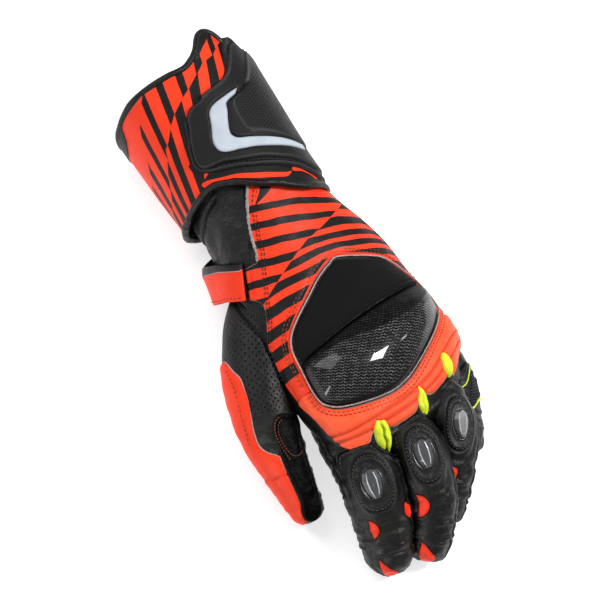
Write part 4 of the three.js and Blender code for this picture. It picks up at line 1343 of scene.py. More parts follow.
# The folded upper edge of each finger's panel, as an angle round the finger and a place along it
ROOT_FOLDS = {
    "index": [
        (-180, 2.6), (-80, 2.35), (-62, 1.9), (-45, 1.42), (-38, 1.36), (-10, 1.43), (22, 1.55), (30, 1.8),
        (48, 1.95), (80, 2.0), (180, 2.2),
    ],
    "middle": [
        (-180, 2.4), (-80, 2.2), (-60, 1.75), (-42, 1.33), (-10, 1.3), (28, 1.32), (36, 1.55), (60, 1.75),
        (180, 1.9),
    ],
    "ring": [
        (-180, 2.4), (-80, 2.2), (-55, 1.6), (-40, 1.38), (-18, 1.24), (15, 1.14), (40, 1.1), (80, 1.3),
        (180, 1.6),
    ],
    "little": [
        (-180, 1.9), (-80, 1.75), (-60, 1.5), (-40, 1.43), (-20, 1.5), (0, 1.45), (20, 1.35), (180, 1.5),
    ],
}
THUMB_SEAM = np.array(on_finger([
    (-60, 0.1), (-27.6, 0.42), (-10.8, 0.77), (6, 1.09), (25.2, 1.4), (45, 1.85), (62, 2.4), (90, 2.95),
]))
# Small coloured pieces let into the fingers: the finger, and points as an angle and a place along it
RED_VENTS = (
    ("index", [
        (-34, 3.18), (-34, 3.18), (-23, 3.31), (-18, 3.52), (-23, 3.72), (-33, 3.86), (-33, 3.86),
        (-34.5, 3.6),
    ]),
    ("index", [
        (50, 3.0), (50, 3.0), (44, 3.2), (48, 3.36), (59, 3.48), (59, 3.48), (70, 3.3), (64, 3.1),
    ]),
    ("index", [
        (-40, 5.02), (-40, 5.02), (-20, 5.28), (-8, 5.42), (4, 5.58), (4, 5.58), (-12, 5.72), (-38, 5.72),
        (-50, 5.62), (-42, 5.35),
    ]),
    ("middle", [
        (-39.6, 2.94), (-39.6, 2.94), (-25, 3.02), (-15, 3.15), (-12.6, 3.28), (-16, 3.44), (-24, 3.57),
        (-33, 3.62), (-33, 3.62), (-34.5, 3.3),
    ]),
    ("middle", [
        (-24, 4.88), (-24, 4.88), (-7, 5.1), (15.6, 5.36), (15.6, 5.36), (8, 5.62), (-12, 5.72), (-31, 5.6),
        (-29, 5.28),
    ]),
    ("ring", [
        (-15.6, 3.2), (-15.6, 3.2), (1, 3.28), (3.6, 3.47), (2.4, 3.7), (2.4, 3.7), (-7, 3.6), (-12.5, 3.4),
    ]),
)
STRETCH_INSET = ("little", [
    (20, 1.72), (45, 1.6), (75, 1.8), (100, 2.1), (100, 2.5), (70, 2.34), (30, 2.34), (8, 2.62), (0, 2.4),
])
# Yellow cords on the little finger, and their radius
NEON_CORDS = (
    ([(-34, 1.94), (-15, 1.92), (-3, 1.86), (15, 1.62), (40, 1.46), (70, 1.6), (95, 1.9)], 0.4),
    ([(-11, 2.86), (-2, 2.8), (10, 2.62), (30, 2.44), (60, 2.4), (95, 2.5)], 0.75),
)
# Columns of a finger's mesh, and where along its table it starts
FINGER_COLUMNS, FINGER_START = 140, 0.15
# Rows of the mesh for each step of a finger's table and of the thumb's, which has more steps
FINGER_ROWS, THUMB_ROWS = 30, 24
# Rows over the round tip and how much of it they cover, and the same for the lining inside it
TIP_ROWS, TIP_REACH, TIP_LINING_ROWS, TIP_LINING_REACH, LINING_ROWS = 20, 0.985, 5, 0.9, 14


def oval_share(name, u, v):
    """1 on the padded oval's outline round a slider, less inside it."""
    oval = OVALS[name]
    across = (u - oval["turn"] * FINGER_ARC) / oval["wide"]
    return np.sqrt(across**2 + ((v - oval["at"] * FINGER_STEP) / oval["long"]) ** 2)


def finger_line(rows, step, closed=False):
    """A smooth flat line or outline from angles round a finger and places along it."""
    return smooth_line(on_finger(rows), step, closed)


def past_fold(name, u, v):
    """How far past its folded upper edge a place on a finger is, in steps of its table."""
    return v / FINGER_STEP - fall(ROOT_FOLDS[name], u / FINGER_ARC)


def finger_relief(name, u, v):
    """Heights in mm of a finger's folds, seams, folded edge and stitched oval."""
    place = np.stack([u, v], -1)
    side_angle = np.abs(u / FINGER_ARC)
    t = v / FINGER_STEP
    seed = len(name) + ord(name[0])
    wave = 0.4 * noise(place, 14, seed) + 0.2 * noise(place, 6, seed + 1)
    across = np.stack([u / 2.6, v], -1)
    wrinkles = 0.75 * noise(across, 3.4, seed + 2) + 0.3 * noise(across, 1.9, seed + 3)
    if name == "thumb":
        seam = edge_distance(flat_rows(u, v), THUMB_SEAM, False).reshape(u.shape)
        return wave + wrinkles * smooth(3.0, 3.6, t) * 0.8 - 0.9 * ridge(seam, 0, 0.7)
    step = 0.45 * smooth(SEAM_ANGLE - 3, SEAM_ANGLE + 3, side_angle)
    side = step - 0.7 * ridge(side_angle, SEAM_ANGLE, 4)
    past = past_fold(name, u, v)
    side = side + 1.3 * smooth(-0.02, 0.05, past) - 0.35 * ridge(past, 0.13, 0.03)
    if name not in OVALS:
        return wave + wrinkles + side * smooth(0.5, 1.0, t)
    round_oval = oval_share(name, u, v)
    pad = 1.2 * ridge(round_oval, 0.84, 0.11) - 0.9 * ridge(round_oval, 0.985, 0.05)
    pad = pad + 0.7 * smooth(1.5, 1.08, round_oval)
    calm = smooth(1.1, 1.6, round_oval)
    return wave * (0.4 + 0.6 * calm) + wrinkles * calm + pad + side * smooth(0.5, 1.0, t)


def finger_masks(name, u, v):
    """Where a finger is punched, and where it gets painted shade: in its creases, at its folded edge and
    round its insets.
    """
    flat = np.stack([u, v], -1)
    holed = painted_shade = np.zeros(len(flat))
    if name == "thumb":
        holed = smooth(3.1, 2.9, v / FINGER_STEP) * smooth(88, 84, np.abs(u / FINGER_ARC))
        painted_shade = 0.8 * ridge(edge_distance(flat, THUMB_SEAM, False), 0, 0.7)
    else:
        if name in OVALS:
            painted_shade = 0.8 * ridge(oval_share(name, u, v), 0.985, 0.045)
        painted_shade = painted_shade + 0.8 * ridge(past_fold(name, u, v), -0.03, 0.03)
    for finger, rows in RED_VENTS:
        if finger == name:
            painted_shade = painted_shade + smooth(1.1, 0.3, -signed(flat, finger_line(rows, 0.5, True)))
    return {"holes": holed, "crease": np.clip(painted_shade, 0, 1)}


def on_relief(name, line, over, reach=0.0):
    """A flat line at a height over a finger's relief, taken that reach past it."""
    return raised(finger_surface(name), line, finger_relief(name, line[:, 0], line[:, 1] + reach) + over)


def build_finger(name):
    """A finger or the thumb as a wall of leather, its relief fading out over the round tip."""
    last = len(FINGERS[name]["x"]) - 1
    surface = finger_surface(name)
    body = int(last * (THUMB_ROWS if name == "thumb" else FINGER_ROWS))
    tip = last + np.sin(np.linspace(0, math.pi / 2, TIP_ROWS))[1:] * TIP_REACH
    t = np.concatenate([np.linspace(FINGER_START, last, body), tip])
    tip_in = np.linspace(last + TIP_LINING_REACH, last, TIP_LINING_ROWS)
    t_in = np.concatenate([tip_in, np.linspace(last, FINGER_START, LINING_ROWS)[1:]])
    around = np.linspace(-180, 180, FINGER_COLUMNS, endpoint=False) * FINGER_ARC
    u, v = np.meshgrid(around, t * FINGER_STEP)
    u_in, v_in = np.meshgrid(around, t_in * FINGER_STEP)
    fade = smooth(last + 1.0, last + 0.6, v / FINGER_STEP)
    outer = surface(u, v, finger_relief(name, u, v) * fade)
    points, faces = capped_wall(outer, surface(u_in, v_in, -LEATHER))
    flat = np.concatenate([flat_rows(u, v), flat_rows(u_in, v_in)])
    node = "thumb" if name == "thumb" else "finger_" + name
    make_piece(node + "_leather", points, faces, [BLACK_LEATHER], replaced=[node], slot="black_leather",
               print_uv=flat, masks=finger_masks(name, flat[:, 0], flat[:, 1]))


# Outlines and stitch rows of the thumb's patches
THUMB_RED = [
    (-60, 1.72), (-44.4, 1.76), (-27.6, 1.96), (-15.6, 2.12), (-10.8, 2.33), (-8.4, 2.59), (-10.8, 2.9),
    (-18, 3.32), (-19.2, 3.6), (-9.6, 3.8), (0, 3.92), (8, 4.03), (8, 4.03), (5.5, 4.63), (2, 5.3),
    (-6, 6.0), (-20, 6.5), (-60, 6.6), (-100, 6.5), (-108, 6.0), (-110, 4.5), (-110, 3.0), (-104, 2.0),
]
THUMB_BLACK = [
    (78, 3.2), (55, 3.12), (31.2, 3.1), (22.8, 3.29), (16, 3.61), (13, 4.08), (9.5, 4.63), (6, 5.47),
    (-14, 6.45), (20, 6.6), (50, 6.4), (64, 5.93), (74, 5.23), (74, 4.52), (75, 4.03), (80, 3.58),
]
THUMB_DASHES = [(-42, 1.9), (-33, 2.08), (-27.6, 2.33), (-26.5, 2.6), (-27.6, 2.9), (-31, 3.2), (-38, 3.5)]
THUMB_TURNS = (
    [(34, 3.14), (26, 3.2), (20, 3.32), (17, 3.5), (18, 3.75), (21, 4.0), (25, 4.2)],
    [
        (38, 3.22), (30, 3.28), (25, 3.38), (22, 3.55), (23, 3.75), (27, 3.98), (34, 4.12), (46, 4.18),
        (62, 4.1),
    ],
)
# The seam across the red patch: its slant and its place along the thumb
PATCH_SEAM_SLANT, PATCH_SEAM_AT = 0.12, 4.5


def build_thumb_patches():
    surface = finger_surface("thumb")

    def across_seam(flat, width):
        slanted = flat[:, 1] - PATCH_SEAM_SLANT * flat[:, 0]
        return ridge(slanted, PATCH_SEAM_AT * FINGER_STEP, width)

    def relief(flat, edge):
        stretched = np.stack([flat[:, 0] / 2.5, flat[:, 1]], -1)
        folds = 0.35 * noise(flat, 9, 31) + 0.25 * noise(stretched, 3.5, 32)
        return 1.25 * smooth(-0.6, 0.9, edge) + folds * smooth(0, 4, edge) - 0.6 * across_seam(flat, 0.6)

    # Painted shade along the seam across the red patch.
    panel("thumb_red_patch", surface, on_finger(THUMB_RED), relief, [RED_LEATHER, RAW], spacing=1.1,
          replaced=["thumb_patch"], slot="red_leather",
          masks=lambda flat, edge: {"crease": 0.8 * across_seam(flat, 0.45)})

    def dark_relief(flat, edge):
        folds = 0.3 * noise(flat, 8, 33) + 0.2 * noise(flat, 3.5, 34)
        return 0.9 + 1.0 * ridge(edge, 1.3, 1.1) + folds * smooth(0, 3, edge)

    # The black patch gets the shaded copy of the black leather, as painted shade.
    panel("thumb_black_patch", surface, on_finger(THUMB_BLACK), dark_relief, [SHADED_LEATHER, DARK_EDGE],
          spacing=1.1, replaced=["thumb_grip"], slot="black_leather",
          masks=lambda flat, edge: {"holes": np.zeros(len(flat))})
    sew("thumb_dashes", [laid(surface, on_finger(THUMB_DASHES), 1.2)], RED_THREAD, 1.7, 0.9, 0.26)
    rows = [laid(surface, on_finger(line), 1.35) for line in THUMB_TURNS]
    sew("thumb_turns", rows, BROWN_THREAD, 1.2, 0.5, 0.24)


# Outlines on the back of the hand, each point an angle round it and a place along it
BACK_OUTLINE = [
    (18, 16), (-17, 18), (-17, 18), (-22.5, 12.5), (-27, 8), (-30.6, 4), (-34.1, 0), (-37, -4.5),
    (-39.1, -9.5), (-40.2, -14), (-41.7, -18), (-44, -21.4), (-44, -21.4), (-57.7, -20.5),
    (-57.7, -20.5), (-66.8, -36), (-66.8, -36), (-62, -38), (-58, -40.5), (-56.6, -44), (-58.6, -48),
    (-62, -52), (-66.3, -56), (-70.6, -60), (-74.1, -63), (-76.3, -67), (-77.7, -71), (-79.9, -75.5),
    (-81.2, -79), (-83.4, -84), (-84.1, -88), (-83.6, -97.6), (-83.6, -97.6), (-61.6, -97.6),
    (-61.6, -97.6), (-59.8, -88), (-58.4, -83), (-57.4, -78), (-55.5, -72.6), (-51.8, -67.7),
    (-47.2, -64), (-40.5, -60.3), (-30.5, -55.3), (-20.5, -50.3), (-10.5, -44.8), (0, -40.2),
    (5.1, -38.4), (12.3, -39.8), (20, -42.3), (30, -45.3), (40, -48.8), (46, -52.5), (51.3, -57.2),
    (56.6, -62.4), (61.5, -68.5), (64, -74), (63.5, -82), (58.5, -89.6), (58.5, -89.6), (70, -92),
    (70, -92), (78, -80), (77, -66), (72, -50), (66, -34), (62, -18), (60, -4), (54, 8), (40, 16),
    (40, 16),
]
KNUCKLE_EDGE = [
    (5.1, -39.5), (0, -41.5), (-10, -46), (-20, -51.5), (-30, -56.5), (-40, -61.5), (-46.3, -65),
    (-50.6, -68.5), (-54.1, -73), (-56, -78), (-57, -83), (-58.4, -88), (-59.9, -94), (-60.6, -100),
    (-59.9, -105), (-57, -108.5), (-50, -112.5), (-40, -115.5), (-30, -117.5), (-20, -119),
    (-10, -119.5), (-3.4, -118.5), (2.3, -116.5), (10, -113), (20, -108), (30, -102.5), (40, -97),
    (50, -92), (56.6, -89), (61.5, -82), (62.3, -75), (60.5, -69), (55.1, -63), (50, -58),
    (45.1, -53.5), (40, -50), (30, -46.5), (20, -43.5), (12.3, -41),
]
# Which of these points make up its upper left side and its upper right side
UPPER_LEFT, UPPER_RIGHT = slice(0, 13), slice(31, 39)
KNUCKLE_LINE = sleeve_line(KNUCKLE_EDGE, closed=True)
GROOVE = [
    (-62, -82.5), (-52, -81.2), (-30, -78.2), (-10, -75.1), (10, -72.4), (30, -71), (50, -70.8), (66, -71.4),
]
FLEX_UPPER = [
    (-62.2, -98.6), (-61.6, -105.5), (-58.4, -109.7), (-50.8, -113.7), (-40.5, -116.8), (-30.3, -118.8),
    (-20, -120.3), (-9.8, -120.8), (-2.6, -119.8), (3.2, -117.7), (10.8, -114.2), (20.8, -109.2),
    (30.8, -103.7), (40.8, -98.2), (50.8, -93.2), (58, -90.4),
]
FLEX_LOWER = [
    (69, -93), (80, -98), (86, -110), (80, -122), (70, -127), (60, -130), (51, -132.5), (42, -134),
    (37.5, -127), (33, -119.5), (33, -119.5), (31.5, -126), (28.5, -131), (20, -132), (11.4, -132.2),
    (6.8, -130), (3.5, -125), (3.5, -125), (1.2, -130), (-2.4, -134.6), (-8, -135.6), (-16.2, -136),
    (-23, -135.8), (-26.5, -133.5), (-30.5, -128.8), (-30.5, -128.8), (-36, -132), (-41.6, -134),
    (-47, -136.5), (-55, -138), (-64, -138), (-71, -135.5), (-75.5, -131), (-76, -122), (-78, -110),
    (-82, -98.6),
]
# The two creases across the panel under the guard
FLEX_CREASES = (
    [
        (-81.3, -122.5), (-70, -125), (-54.9, -127), (-40, -127.5), (-20, -127), (0, -125), (20, -121),
        (34, -115.5), (50, -110), (70, -106),
    ],
    [
        (-80, -128), (-69, -129.5), (-50, -131.5), (-40, -132), (-26, -131.8), (-10, -131), (0, -130),
        (9.4, -128.5), (20, -127), (32, -125), (50, -122), (70, -118),
    ],
)


# The striped panel on the back of the hand
HAND_FLIP = table("angle y", [
    (-180, -110), (-56.4, -43.2), (-34.8, -36.4), (-15.6, -29.2), (-0.6, -23.6), (10.2, -21.2), (33.6, -16),
    (60, -11), (180, 10),
])
# Where the middles of the dark bands lie along the hand, on the lower side of the flip
LOW_BANDS = (-82.6, -69.8, -59.4, -48.8, -39.6, -32.3, -26, -18, -5.5)
LOW_LEAN = 0.14
# The even bands on its upper side, the place of the first one and their lean for each degree
HIGH_PERIOD, HIGH_FIRST, HIGH_LEAN = 10.7, 0.6, 0.2
# The print stays plain this close to the knuckle panel's edge, and below this place along the hand.
PLAIN_RIM, PLAIN_BELOW = 2.1, -88
# Past this slanted line, next to the wrist, it is plain too.
CORNER_Y, CORNER_LEAN = 6.4, -0.2
# A dark wedge in the plain corner next to the wrist, and the leather's torn edge below it
CORNER_WEDGE = [(-7, 19), (-7, 19), (1, 19), (1, 19), (0, 11.2), (-21.6, 5.2), (-21.6, 5.2), (-7.8, 14)]
TORN_EDGE = [(-17, 17.5), *BACK_OUTLINE[3:11], (-43.6, -20.8)]
BACK_STITCHES = [
    (-13.4, 14.5), (-20.6, 9), (-26.3, 3), (-29.9, -3), (-34.1, -10), (-36.3, -18), (-40.6, -24),
    (-45.6, -32), (-50.6, -40), (-54.9, -46), (-61, -54), (-70, -60), (-76, -66), (-79, -71),
    (-82, -78), (-83, -84),
]


def back_masks(flat, edge):
    """Where the bands of the back's print lie, and where each of its zones does."""
    v = flat[:, 1]
    angle = flat[:, 0] / SLEEVE_ARC
    sway = 0.8 * noise(flat, 15, 21) + 0.35 * noise(flat, 7, 22)
    return {
        "phase_0": (v + HIGH_LEAN * angle - HIGH_FIRST + sway) / HIGH_PERIOD,
        "phase_1": counted(v + LOW_LEAN * np.maximum(angle, 0) + sway, LOW_BANDS),
        "side_1": fall(HAND_FLIP, angle) - v,
        "side_2": v - CORNER_Y - CORNER_LEAN * angle,
        "side_3": signed(flat, sleeve_line(CORNER_WEDGE, 0.5, True)),
        "side_4": np.maximum(PLAIN_RIM - edge_distance(flat, KNUCKLE_LINE), PLAIN_BELOW - v),
    }


def build_back_panel():
    """The striped panel with its torn edge and the stitch rows along it and round the knuckles."""
    def relief(flat, edge):
        folds = 0.5 * noise(flat, 17, 41) + 0.22 * noise(flat, 6, 42)
        return 1.25 * smooth(-0.4, 0.8, edge) + folds * smooth(0, 5, edge) - 0.35 * ridge(edge, 2.6, 0.7)

    panel("back_leather", hand_surface, flat_points(BACK_OUTLINE), relief, [HAND_PRINT, RAW], spacing=0.85,
          masks=back_masks, replaced=["back_panel"], slot="printed_leather")
    torn = sleeve_line(TORN_EDGE, 0.5)
    fray = 0.25 * noise(torn, 1.3, 43) + 0.15 * noise(torn, 4, 44)
    centre = hand_surface(torn[:, 0] + 0.5, torn[:, 1], 1.35 + fray)
    line = centre, normals_at(hand_surface, torn)
    tube("back_torn_edge", line, 0.75 + fray, RAW, flatten=0.6)

    def rows_beside(points, shifts):
        line = sleeve_line(points, 1.0)
        return [laid(hand_surface, beside(line, shift), 1.2) for shift in shifts]

    sew("back_stitches", rows_beside(BACK_STITCHES, (-0.3, -2.1)), BLACK_THREAD, 1.9, 0.8, 0.27)
    rows = rows_beside(KNUCKLE_EDGE[UPPER_LEFT], (3.9, 5.6))
    rows += rows_beside(KNUCKLE_EDGE[UPPER_RIGHT], (2.6, 4.4))
    sew("knuckle_stitches", rows, BROWN_THREAD, 1.9, 0.8, 0.25)


def knuckle_swell(flat):
    """Bulge of the padded back under the fabric and the guard, in mm."""
    return 1.4 * smooth(0, 12, signed(flat, KNUCKLE_LINE))


# How far inside the knuckle panel's edge the fabric and the guard end
KNUCKLE_INSET = 1.3


def knuckle_parts():
    """The outlines of the fabric above the groove and of the guard below it."""
    drawn_in = inset(KNUCKLE_LINE, KNUCKLE_INSET)
    groove = sleeve_line(GROOVE)
    height = np.interp(drawn_in[:, 0], groove[:, 0], groove[:, 1])
    parts = []
    for sign, gap in ((1, 0.5), (-1, 0.7)):
        kept = (drawn_in[:, 1] - height) * sign > gap
        start = int(np.argmax(kept & ~np.roll(kept, 1)))
        turned = np.roll(drawn_in, -start, axis=0)[: kept.sum()]
        first, last = turned[-1], turned[0]
        cut = np.linspace(first[0], last[0], max(int(abs(first[0] - last[0]) / 0.8), 4))[1:-1]
        edge = np.stack([cut, np.interp(cut, groove[:, 0], groove[:, 1]) + sign * gap], -1)
        parts.append(np.concatenate([turned, edge]))
    return parts


def build_knuckle_panel():
    fabric = knuckle_parts()[0]
    groove = sleeve_line(GROOVE)

    def relief(flat, edge):
        away = edge_distance(flat, groove, False)
        fold = -0.9 * ridge(away, 2.6, 0.6) + 0.45 * ridge(away, 1.2, 0.9)
        return 1.2 * smooth(-0.3, 1.0, edge) + knuckle_swell(flat) + fold + 0.12 * noise(flat, 9, 51)

    panel("knuckle_fabric", hand_surface, fabric, relief, [FABRIC], spacing=1.0, ready=True,
          replaced=["knuckle_panel"], slot="black_fabric")


# How high the guard stands, and how far from its edge it gets there, in mm
GUARD_HEIGHT, GUARD_SHOULDER = 8.6, 21
GUARD_CREST = [
    (-56, -88), (-38, -85), (-20, -84.5), (0, -87.5), (20, -86), (34, -82.5), (50, -79), (60, -77),
]


def build_guard():
    """A dome that is lower at its far end, with a soft ridge along it and a hollow above that."""
    outline = knuckle_parts()[1]
    crest = sleeve_line(GUARD_CREST)

    def over_crest(flat):
        return flat[:, 1] - np.interp(flat[:, 0], crest[:, 0], crest[:, 1])

    def relief(flat, edge):
        above = over_crest(flat)
        lower_end = 1 - 0.5 * smooth(22, 60, flat[:, 0] / SLEEVE_ARC)
        dome = 1 - (1 - np.clip(edge / GUARD_SHOULDER, 0, 1)) ** 2.1
        body = (GUARD_HEIGHT - 1.0) * dome * lower_end
        line = 0.6 * ridge(above, 0, 3.0) * smooth(4, 10, edge)
        hollow = -0.9 * ridge(above, 3.6, 2.6) * ridge(flat[:, 0] / SLEEVE_ARC, -15, 11)
        lip = 0.2 * ridge(edge, 0.9, 0.6)
        return 1.1 + body + line + hollow + lip * smooth(0, 0.6, edge)

    def masks(flat, edge):
        return {"rim": smooth(2.4, 1.6, edge), "upper": smooth(0.2, 1.2, over_crest(flat))}

    panel("knuckle_guard_shell", hand_surface, outline, relief, [CARBON], spacing=0.95, bevel=0.3,
          ready=True, masks=masks, replaced=["knuckle_guard"], slot="carbon_fibre")


def build_piping():
    """The pale edge round the knuckle panel, thinner and lower along the side next to the fingers."""
    hidden = smooth(-100, -115, KNUCKLE_LINE[:, 1]) * smooth(-50, -20, KNUCKLE_LINE[:, 0] / SLEEVE_ARC)
    tube("knuckle_edge", raised(hand_surface, KNUCKLE_LINE, 1.5 - 0.5 * hidden), 0.42 - 0.14 * hidden, TRIM,
         closed=True, replaced=["knuckle_piping"], slot="grey_trim")


# The ribbed panel between the guard and the fingers
def build_flex():
    upper = sleeve_line(FLEX_UPPER)
    creases = [sleeve_line(line) for line in FLEX_CREASES]

    def folded(flat, width):
        return sum(ridge(edge_distance(flat, line, False), 0, width) for line in creases)

    def relief(flat, edge):
        to_upper = edge_distance(flat, upper, False)
        folds = 0.35 * noise(flat, 9, 61) + 0.2 * noise(flat, 4, 62)
        puff = 0.8 * smooth(4.5, 8, to_upper)
        seams = 0.35 * (ridge(to_upper, 1.5, 0.5) + ridge(to_upper, 3.5, 0.5))
        return 1.5 * smooth(-0.4, 0.9, edge) + puff - 1.5 * folded(flat, 1.0) + folds - seams

    def masks(flat, edge):
        to_upper = edge_distance(flat, upper, False)
        # Painted shade in the two creases and along the upper edge, next to the guard.
        dark = 0.9 * folded(flat, 0.55) + 0.3 * smooth(1.0, 0.2, to_upper)
        return {"crease": np.clip(dark, 0, 1)}

    panel("flex_leather", hand_surface, flat_points(FLEX_UPPER + FLEX_LOWER), relief,
          [PALE_RED_LEATHER, RAW], spacing=0.8, replaced=["flex_panel"], slot="red_leather", masks=masks)
    rows = [laid(hand_surface, beside(upper, shift), 1.3) for shift in (1.5, 3.5)]
    sew("flex_stitches", rows, RED_THREAD, 1.8, 0.8, 0.2)


# The strap round the wrist
STRAP = table("angle y width over", [
    (-215, -1, 17, 1), (-190, -1, 17, 1.5), (-165, -3, 17, 5), (-145, -7, 17.5, 9), (-128, -11, 17.5, 9.5),
    (-110, -14.3, 17.5, 7.5), (-90, -19.3, 17.5, 5), (-75, -24.2, 17.5, 3.6), (-60, -29, 17.5, 2.6),
])
# How far its loose end slants, in degrees, and the angles, mesh and width of the whole strap
STRAP_LEAN = 9.5
STRAP_FROM, STRAP_TO, STRAP_COLUMNS, STRAP_ROWS, STRAP_WIDTH = -212, -62.5, 150, 20, 17
# Rows of the mesh for the dark lining that shows past the strap's upper edge, and how far it reaches
STRAP_LIP, STRAP_LIP_WIDE = 6, 0.72
STRAP_STITCHES = [
    (-207, -12.3), (-190, -8), (-165, -9.2), (-145, -13.4), (-128, -17.8), (-110, -21), (-90, -26),
    (-75, -30.9), (-69, -33),
]


def strap_faces(rows, columns):
    """Faces of the strap as a closed band, and which are red, its cut edge or its dark lining."""
    half = rows * columns
    red, cut, dark = 0, 1, 2
    faces = grid_faces(rows, columns)
    by_row = [dark] * (STRAP_LIP - 1) + [cut] + [red] * (rows - 1 - STRAP_LIP)
    kinds = [kind for kind in by_row for _ in range(columns - 1)]
    lining = grid_faces(rows, columns, half, flip=True)
    faces += lining
    kinds += [dark] * len(lining)
    rim = [i * columns for i in range(rows)] + [half - columns + j for j in range(1, columns)]
    rim += [i * columns + columns - 1 for i in range(rows - 2, -1, -1)] + list(range(columns - 2, 0, -1))
    for a, b in zip(rim, rim[1:] + rim[:1]):
        faces.append((a, b, half + b, half + a))
        kinds.append(dark if max(a, b) < STRAP_LIP * columns else red)
    return faces, kinds


def build_strap():
    angle = np.linspace(STRAP_FROM, STRAP_TO, STRAP_COLUMNS)
    lip = np.linspace(STRAP_LIP_WIDE, 0.53, STRAP_LIP)
    across = np.concatenate([lip, np.linspace(0.5, -0.5, STRAP_ROWS)])[:, None]
    angle = angle + across * (STRAP_LEAN * smooth(-90, STRAP_TO, angle))
    u = angle * SLEEVE_ARC
    y = along(STRAP, "angle", angle, "y") + across * along(STRAP, "angle", angle, "width")
    over = along(STRAP, "angle", angle, "over") - 9.0 * np.maximum(across - 0.5, 0)
    over = over + 0.4 * noise(np.stack([u, y], -1), 12, 71)
    points = [hand_surface(u, y, over + lift).reshape(-1, 3) for lift in (1.7, 0.1)]
    faces, kinds = strap_faces(*y.shape)
    edge = np.broadcast_to((0.5 - np.abs(across)) * STRAP_WIDTH, y.shape).reshape(-1)
    flat = np.tile(flat_rows(u, y), (2, 1))
    make_piece("wrist_strap_leather", np.concatenate(points), faces, [RED_LEATHER, RAW, BLACK_LEATHER],
               replaced=["wrist_strap"], slot="red_leather", print_uv=flat,
               masks={"edge": np.tile(edge, 2), "holes": np.zeros(len(flat))}, face_materials=kinds)
    line = sleeve_line(STRAP_STITCHES, 1.0)
    over = along(STRAP, "angle", line[:, 0] / SLEEVE_ARC, "over") + 1.75
    sew("strap_stitches", [raised(hand_surface, line, over)], RED_THREAD, 2.0, 0.9, 0.22)


# Leaf gussets, each with the depth of the fold along it, and hard sliders
GUSSETS = [
    dict(middle=(-11.9, -135.9, 46.5), long=12.1, wide=5.4, high=5.5, turn=8, split=1.0),
    dict(middle=(18.3, -130.9, 46.9), long=11.0, wide=4.2, high=5.5, turn=12, split=0.3),
    dict(middle=(43.0, -119.9, 49.2), long=7.4, wide=3.9, high=4.0, turn=8, split=0.1),
]
# How much they lean towards the fingertips, and their mesh
GUSSET_LEAN, GUSSET_RINGS, GUSSET_AROUND = 0.5, 22, 44


def build_gusset(number, leaf):
    """A leaf-shaped dome that leans towards the fingertips, with a fold along it and a dark lining."""
    turn = math.radians(leaf["turn"])
    forward = np.array([-math.sin(turn), -math.cos(turn), -GUSSET_LEAN])
    forward /= np.linalg.norm(forward)
    side = np.array([math.cos(turn), -math.sin(turn), 0])
    up = np.cross(forward, side)
    up *= np.sign(up[2])
    share = np.linspace(0, 1, GUSSET_RINGS)[:, None]
    angle = np.linspace(0, 2 * math.pi, GUSSET_AROUND, endpoint=False)
    level = np.sin(share * (math.pi / 2 + 0.12) - 0.12)
    shrink = np.sqrt(np.clip(1 - np.clip(level, 0, 1) ** 2, 0, 1))
    long_part = leaf["long"] * shrink * np.cos(angle)
    wide_part = leaf["wide"] * shrink * np.sin(angle) * (1 - 0.25 * np.cos(angle) ** 2)
    height = leaf["high"] * level * np.ones_like(angle)
    wander = 0.35 * np.sin(long_part * 0.9 + number)
    opened = smooth(-0.75, -0.3, long_part / leaf["long"]) * leaf["split"]
    fold = ridge(wide_part + wander, 0, 0.8) * smooth(0.1, 0.8, level) * 2.0 * opened
    height = height - fold + 0.4 * noise(np.stack([long_part, wide_part], -1), 3.2, 80 + number)
    points = long_part[..., None] * forward + wide_part[..., None] * side + height[..., None] * up
    points = np.array(leaf["middle"]) + points.reshape(-1, 3)
    count = len(points)
    faces = grid_faces(GUSSET_RINGS, GUSSET_AROUND, closed=True)
    faces += [tuple(range(count - GUSSET_AROUND, count)), tuple(range(GUSSET_AROUND - 1, -1, -1))]
    name = "gusset_" + str(number)
    # The fold mask gives the yellow leather painted shade in its fold.
    make_piece(name + "_leather", points, faces, [YELLOW, BLACK_LEATHER], replaced=[name],
               slot="neon_leather", print_uv=flat_rows(long_part, wide_part),
               face_materials=[0] * (len(faces) - 1) + [1],
               masks={"fold": np.clip(fold / 2.6, 0, 1).reshape(-1), "holes": np.zeros(count),
                      "edge": np.full(count, 9.0)})


# Corners of a slider's facets as shares of its half sizes
SLIDER_CORNERS = [
    (-0.2, -1), (0.2, -1), (0.78, -0.8), (1, -0.3), (0.88, 0.35), (0.4, 1), (-0.4, 1), (-0.88, 0.35),
    (-1, -0.3), (-0.78, -0.8),
]
# Its levels from the leather up: shares of its width, length and height, how much of the facets'
# outline they take over that of a plain oval, and which part of it they make up
# The bevel rings get a painted highlight along the slider's long sides.
SLIDER_LEVELS = [
    (1.0, 1.0, 0.05, 0.2, "rim"), (1.02, 1.02, 0.3, 0.2, "rim"), (0.98, 0.98, 0.38, 0.2, "rim"),
    (0.9, 0.94, 0.38, 0.3, "rim"), (0.85, 0.92, 0.22, 0.8, "rim"), (0.83, 0.91, 0.22, 1, "rim"),
    (0.81, 0.9, 0.46, 1, "face"), (0.77, 0.88, 0.54, 1, "face"), (0.45, 0.85, 0.93, 1, "face"),
    (0.43, 0.845, 0.95, 1, "bevel"), (0.36, 0.83, 0.985, 1, "bevel"), (0.34, 0.825, 0.985, 1, "face"),
    (0.04, 0.5, 1.0, 1, "face"),
]
# How far inside its folded edge a finger panel is stitched, and which of that edge is drawn
FOLD_STITCHES, FOLD_FROM, FOLD_TO = -2.0, -75, 90
# The stitch row inside a finger's oval, as a share of its size, and the points that it is drawn from
OVAL_ROW, OVAL_POINTS = 0.9, 60


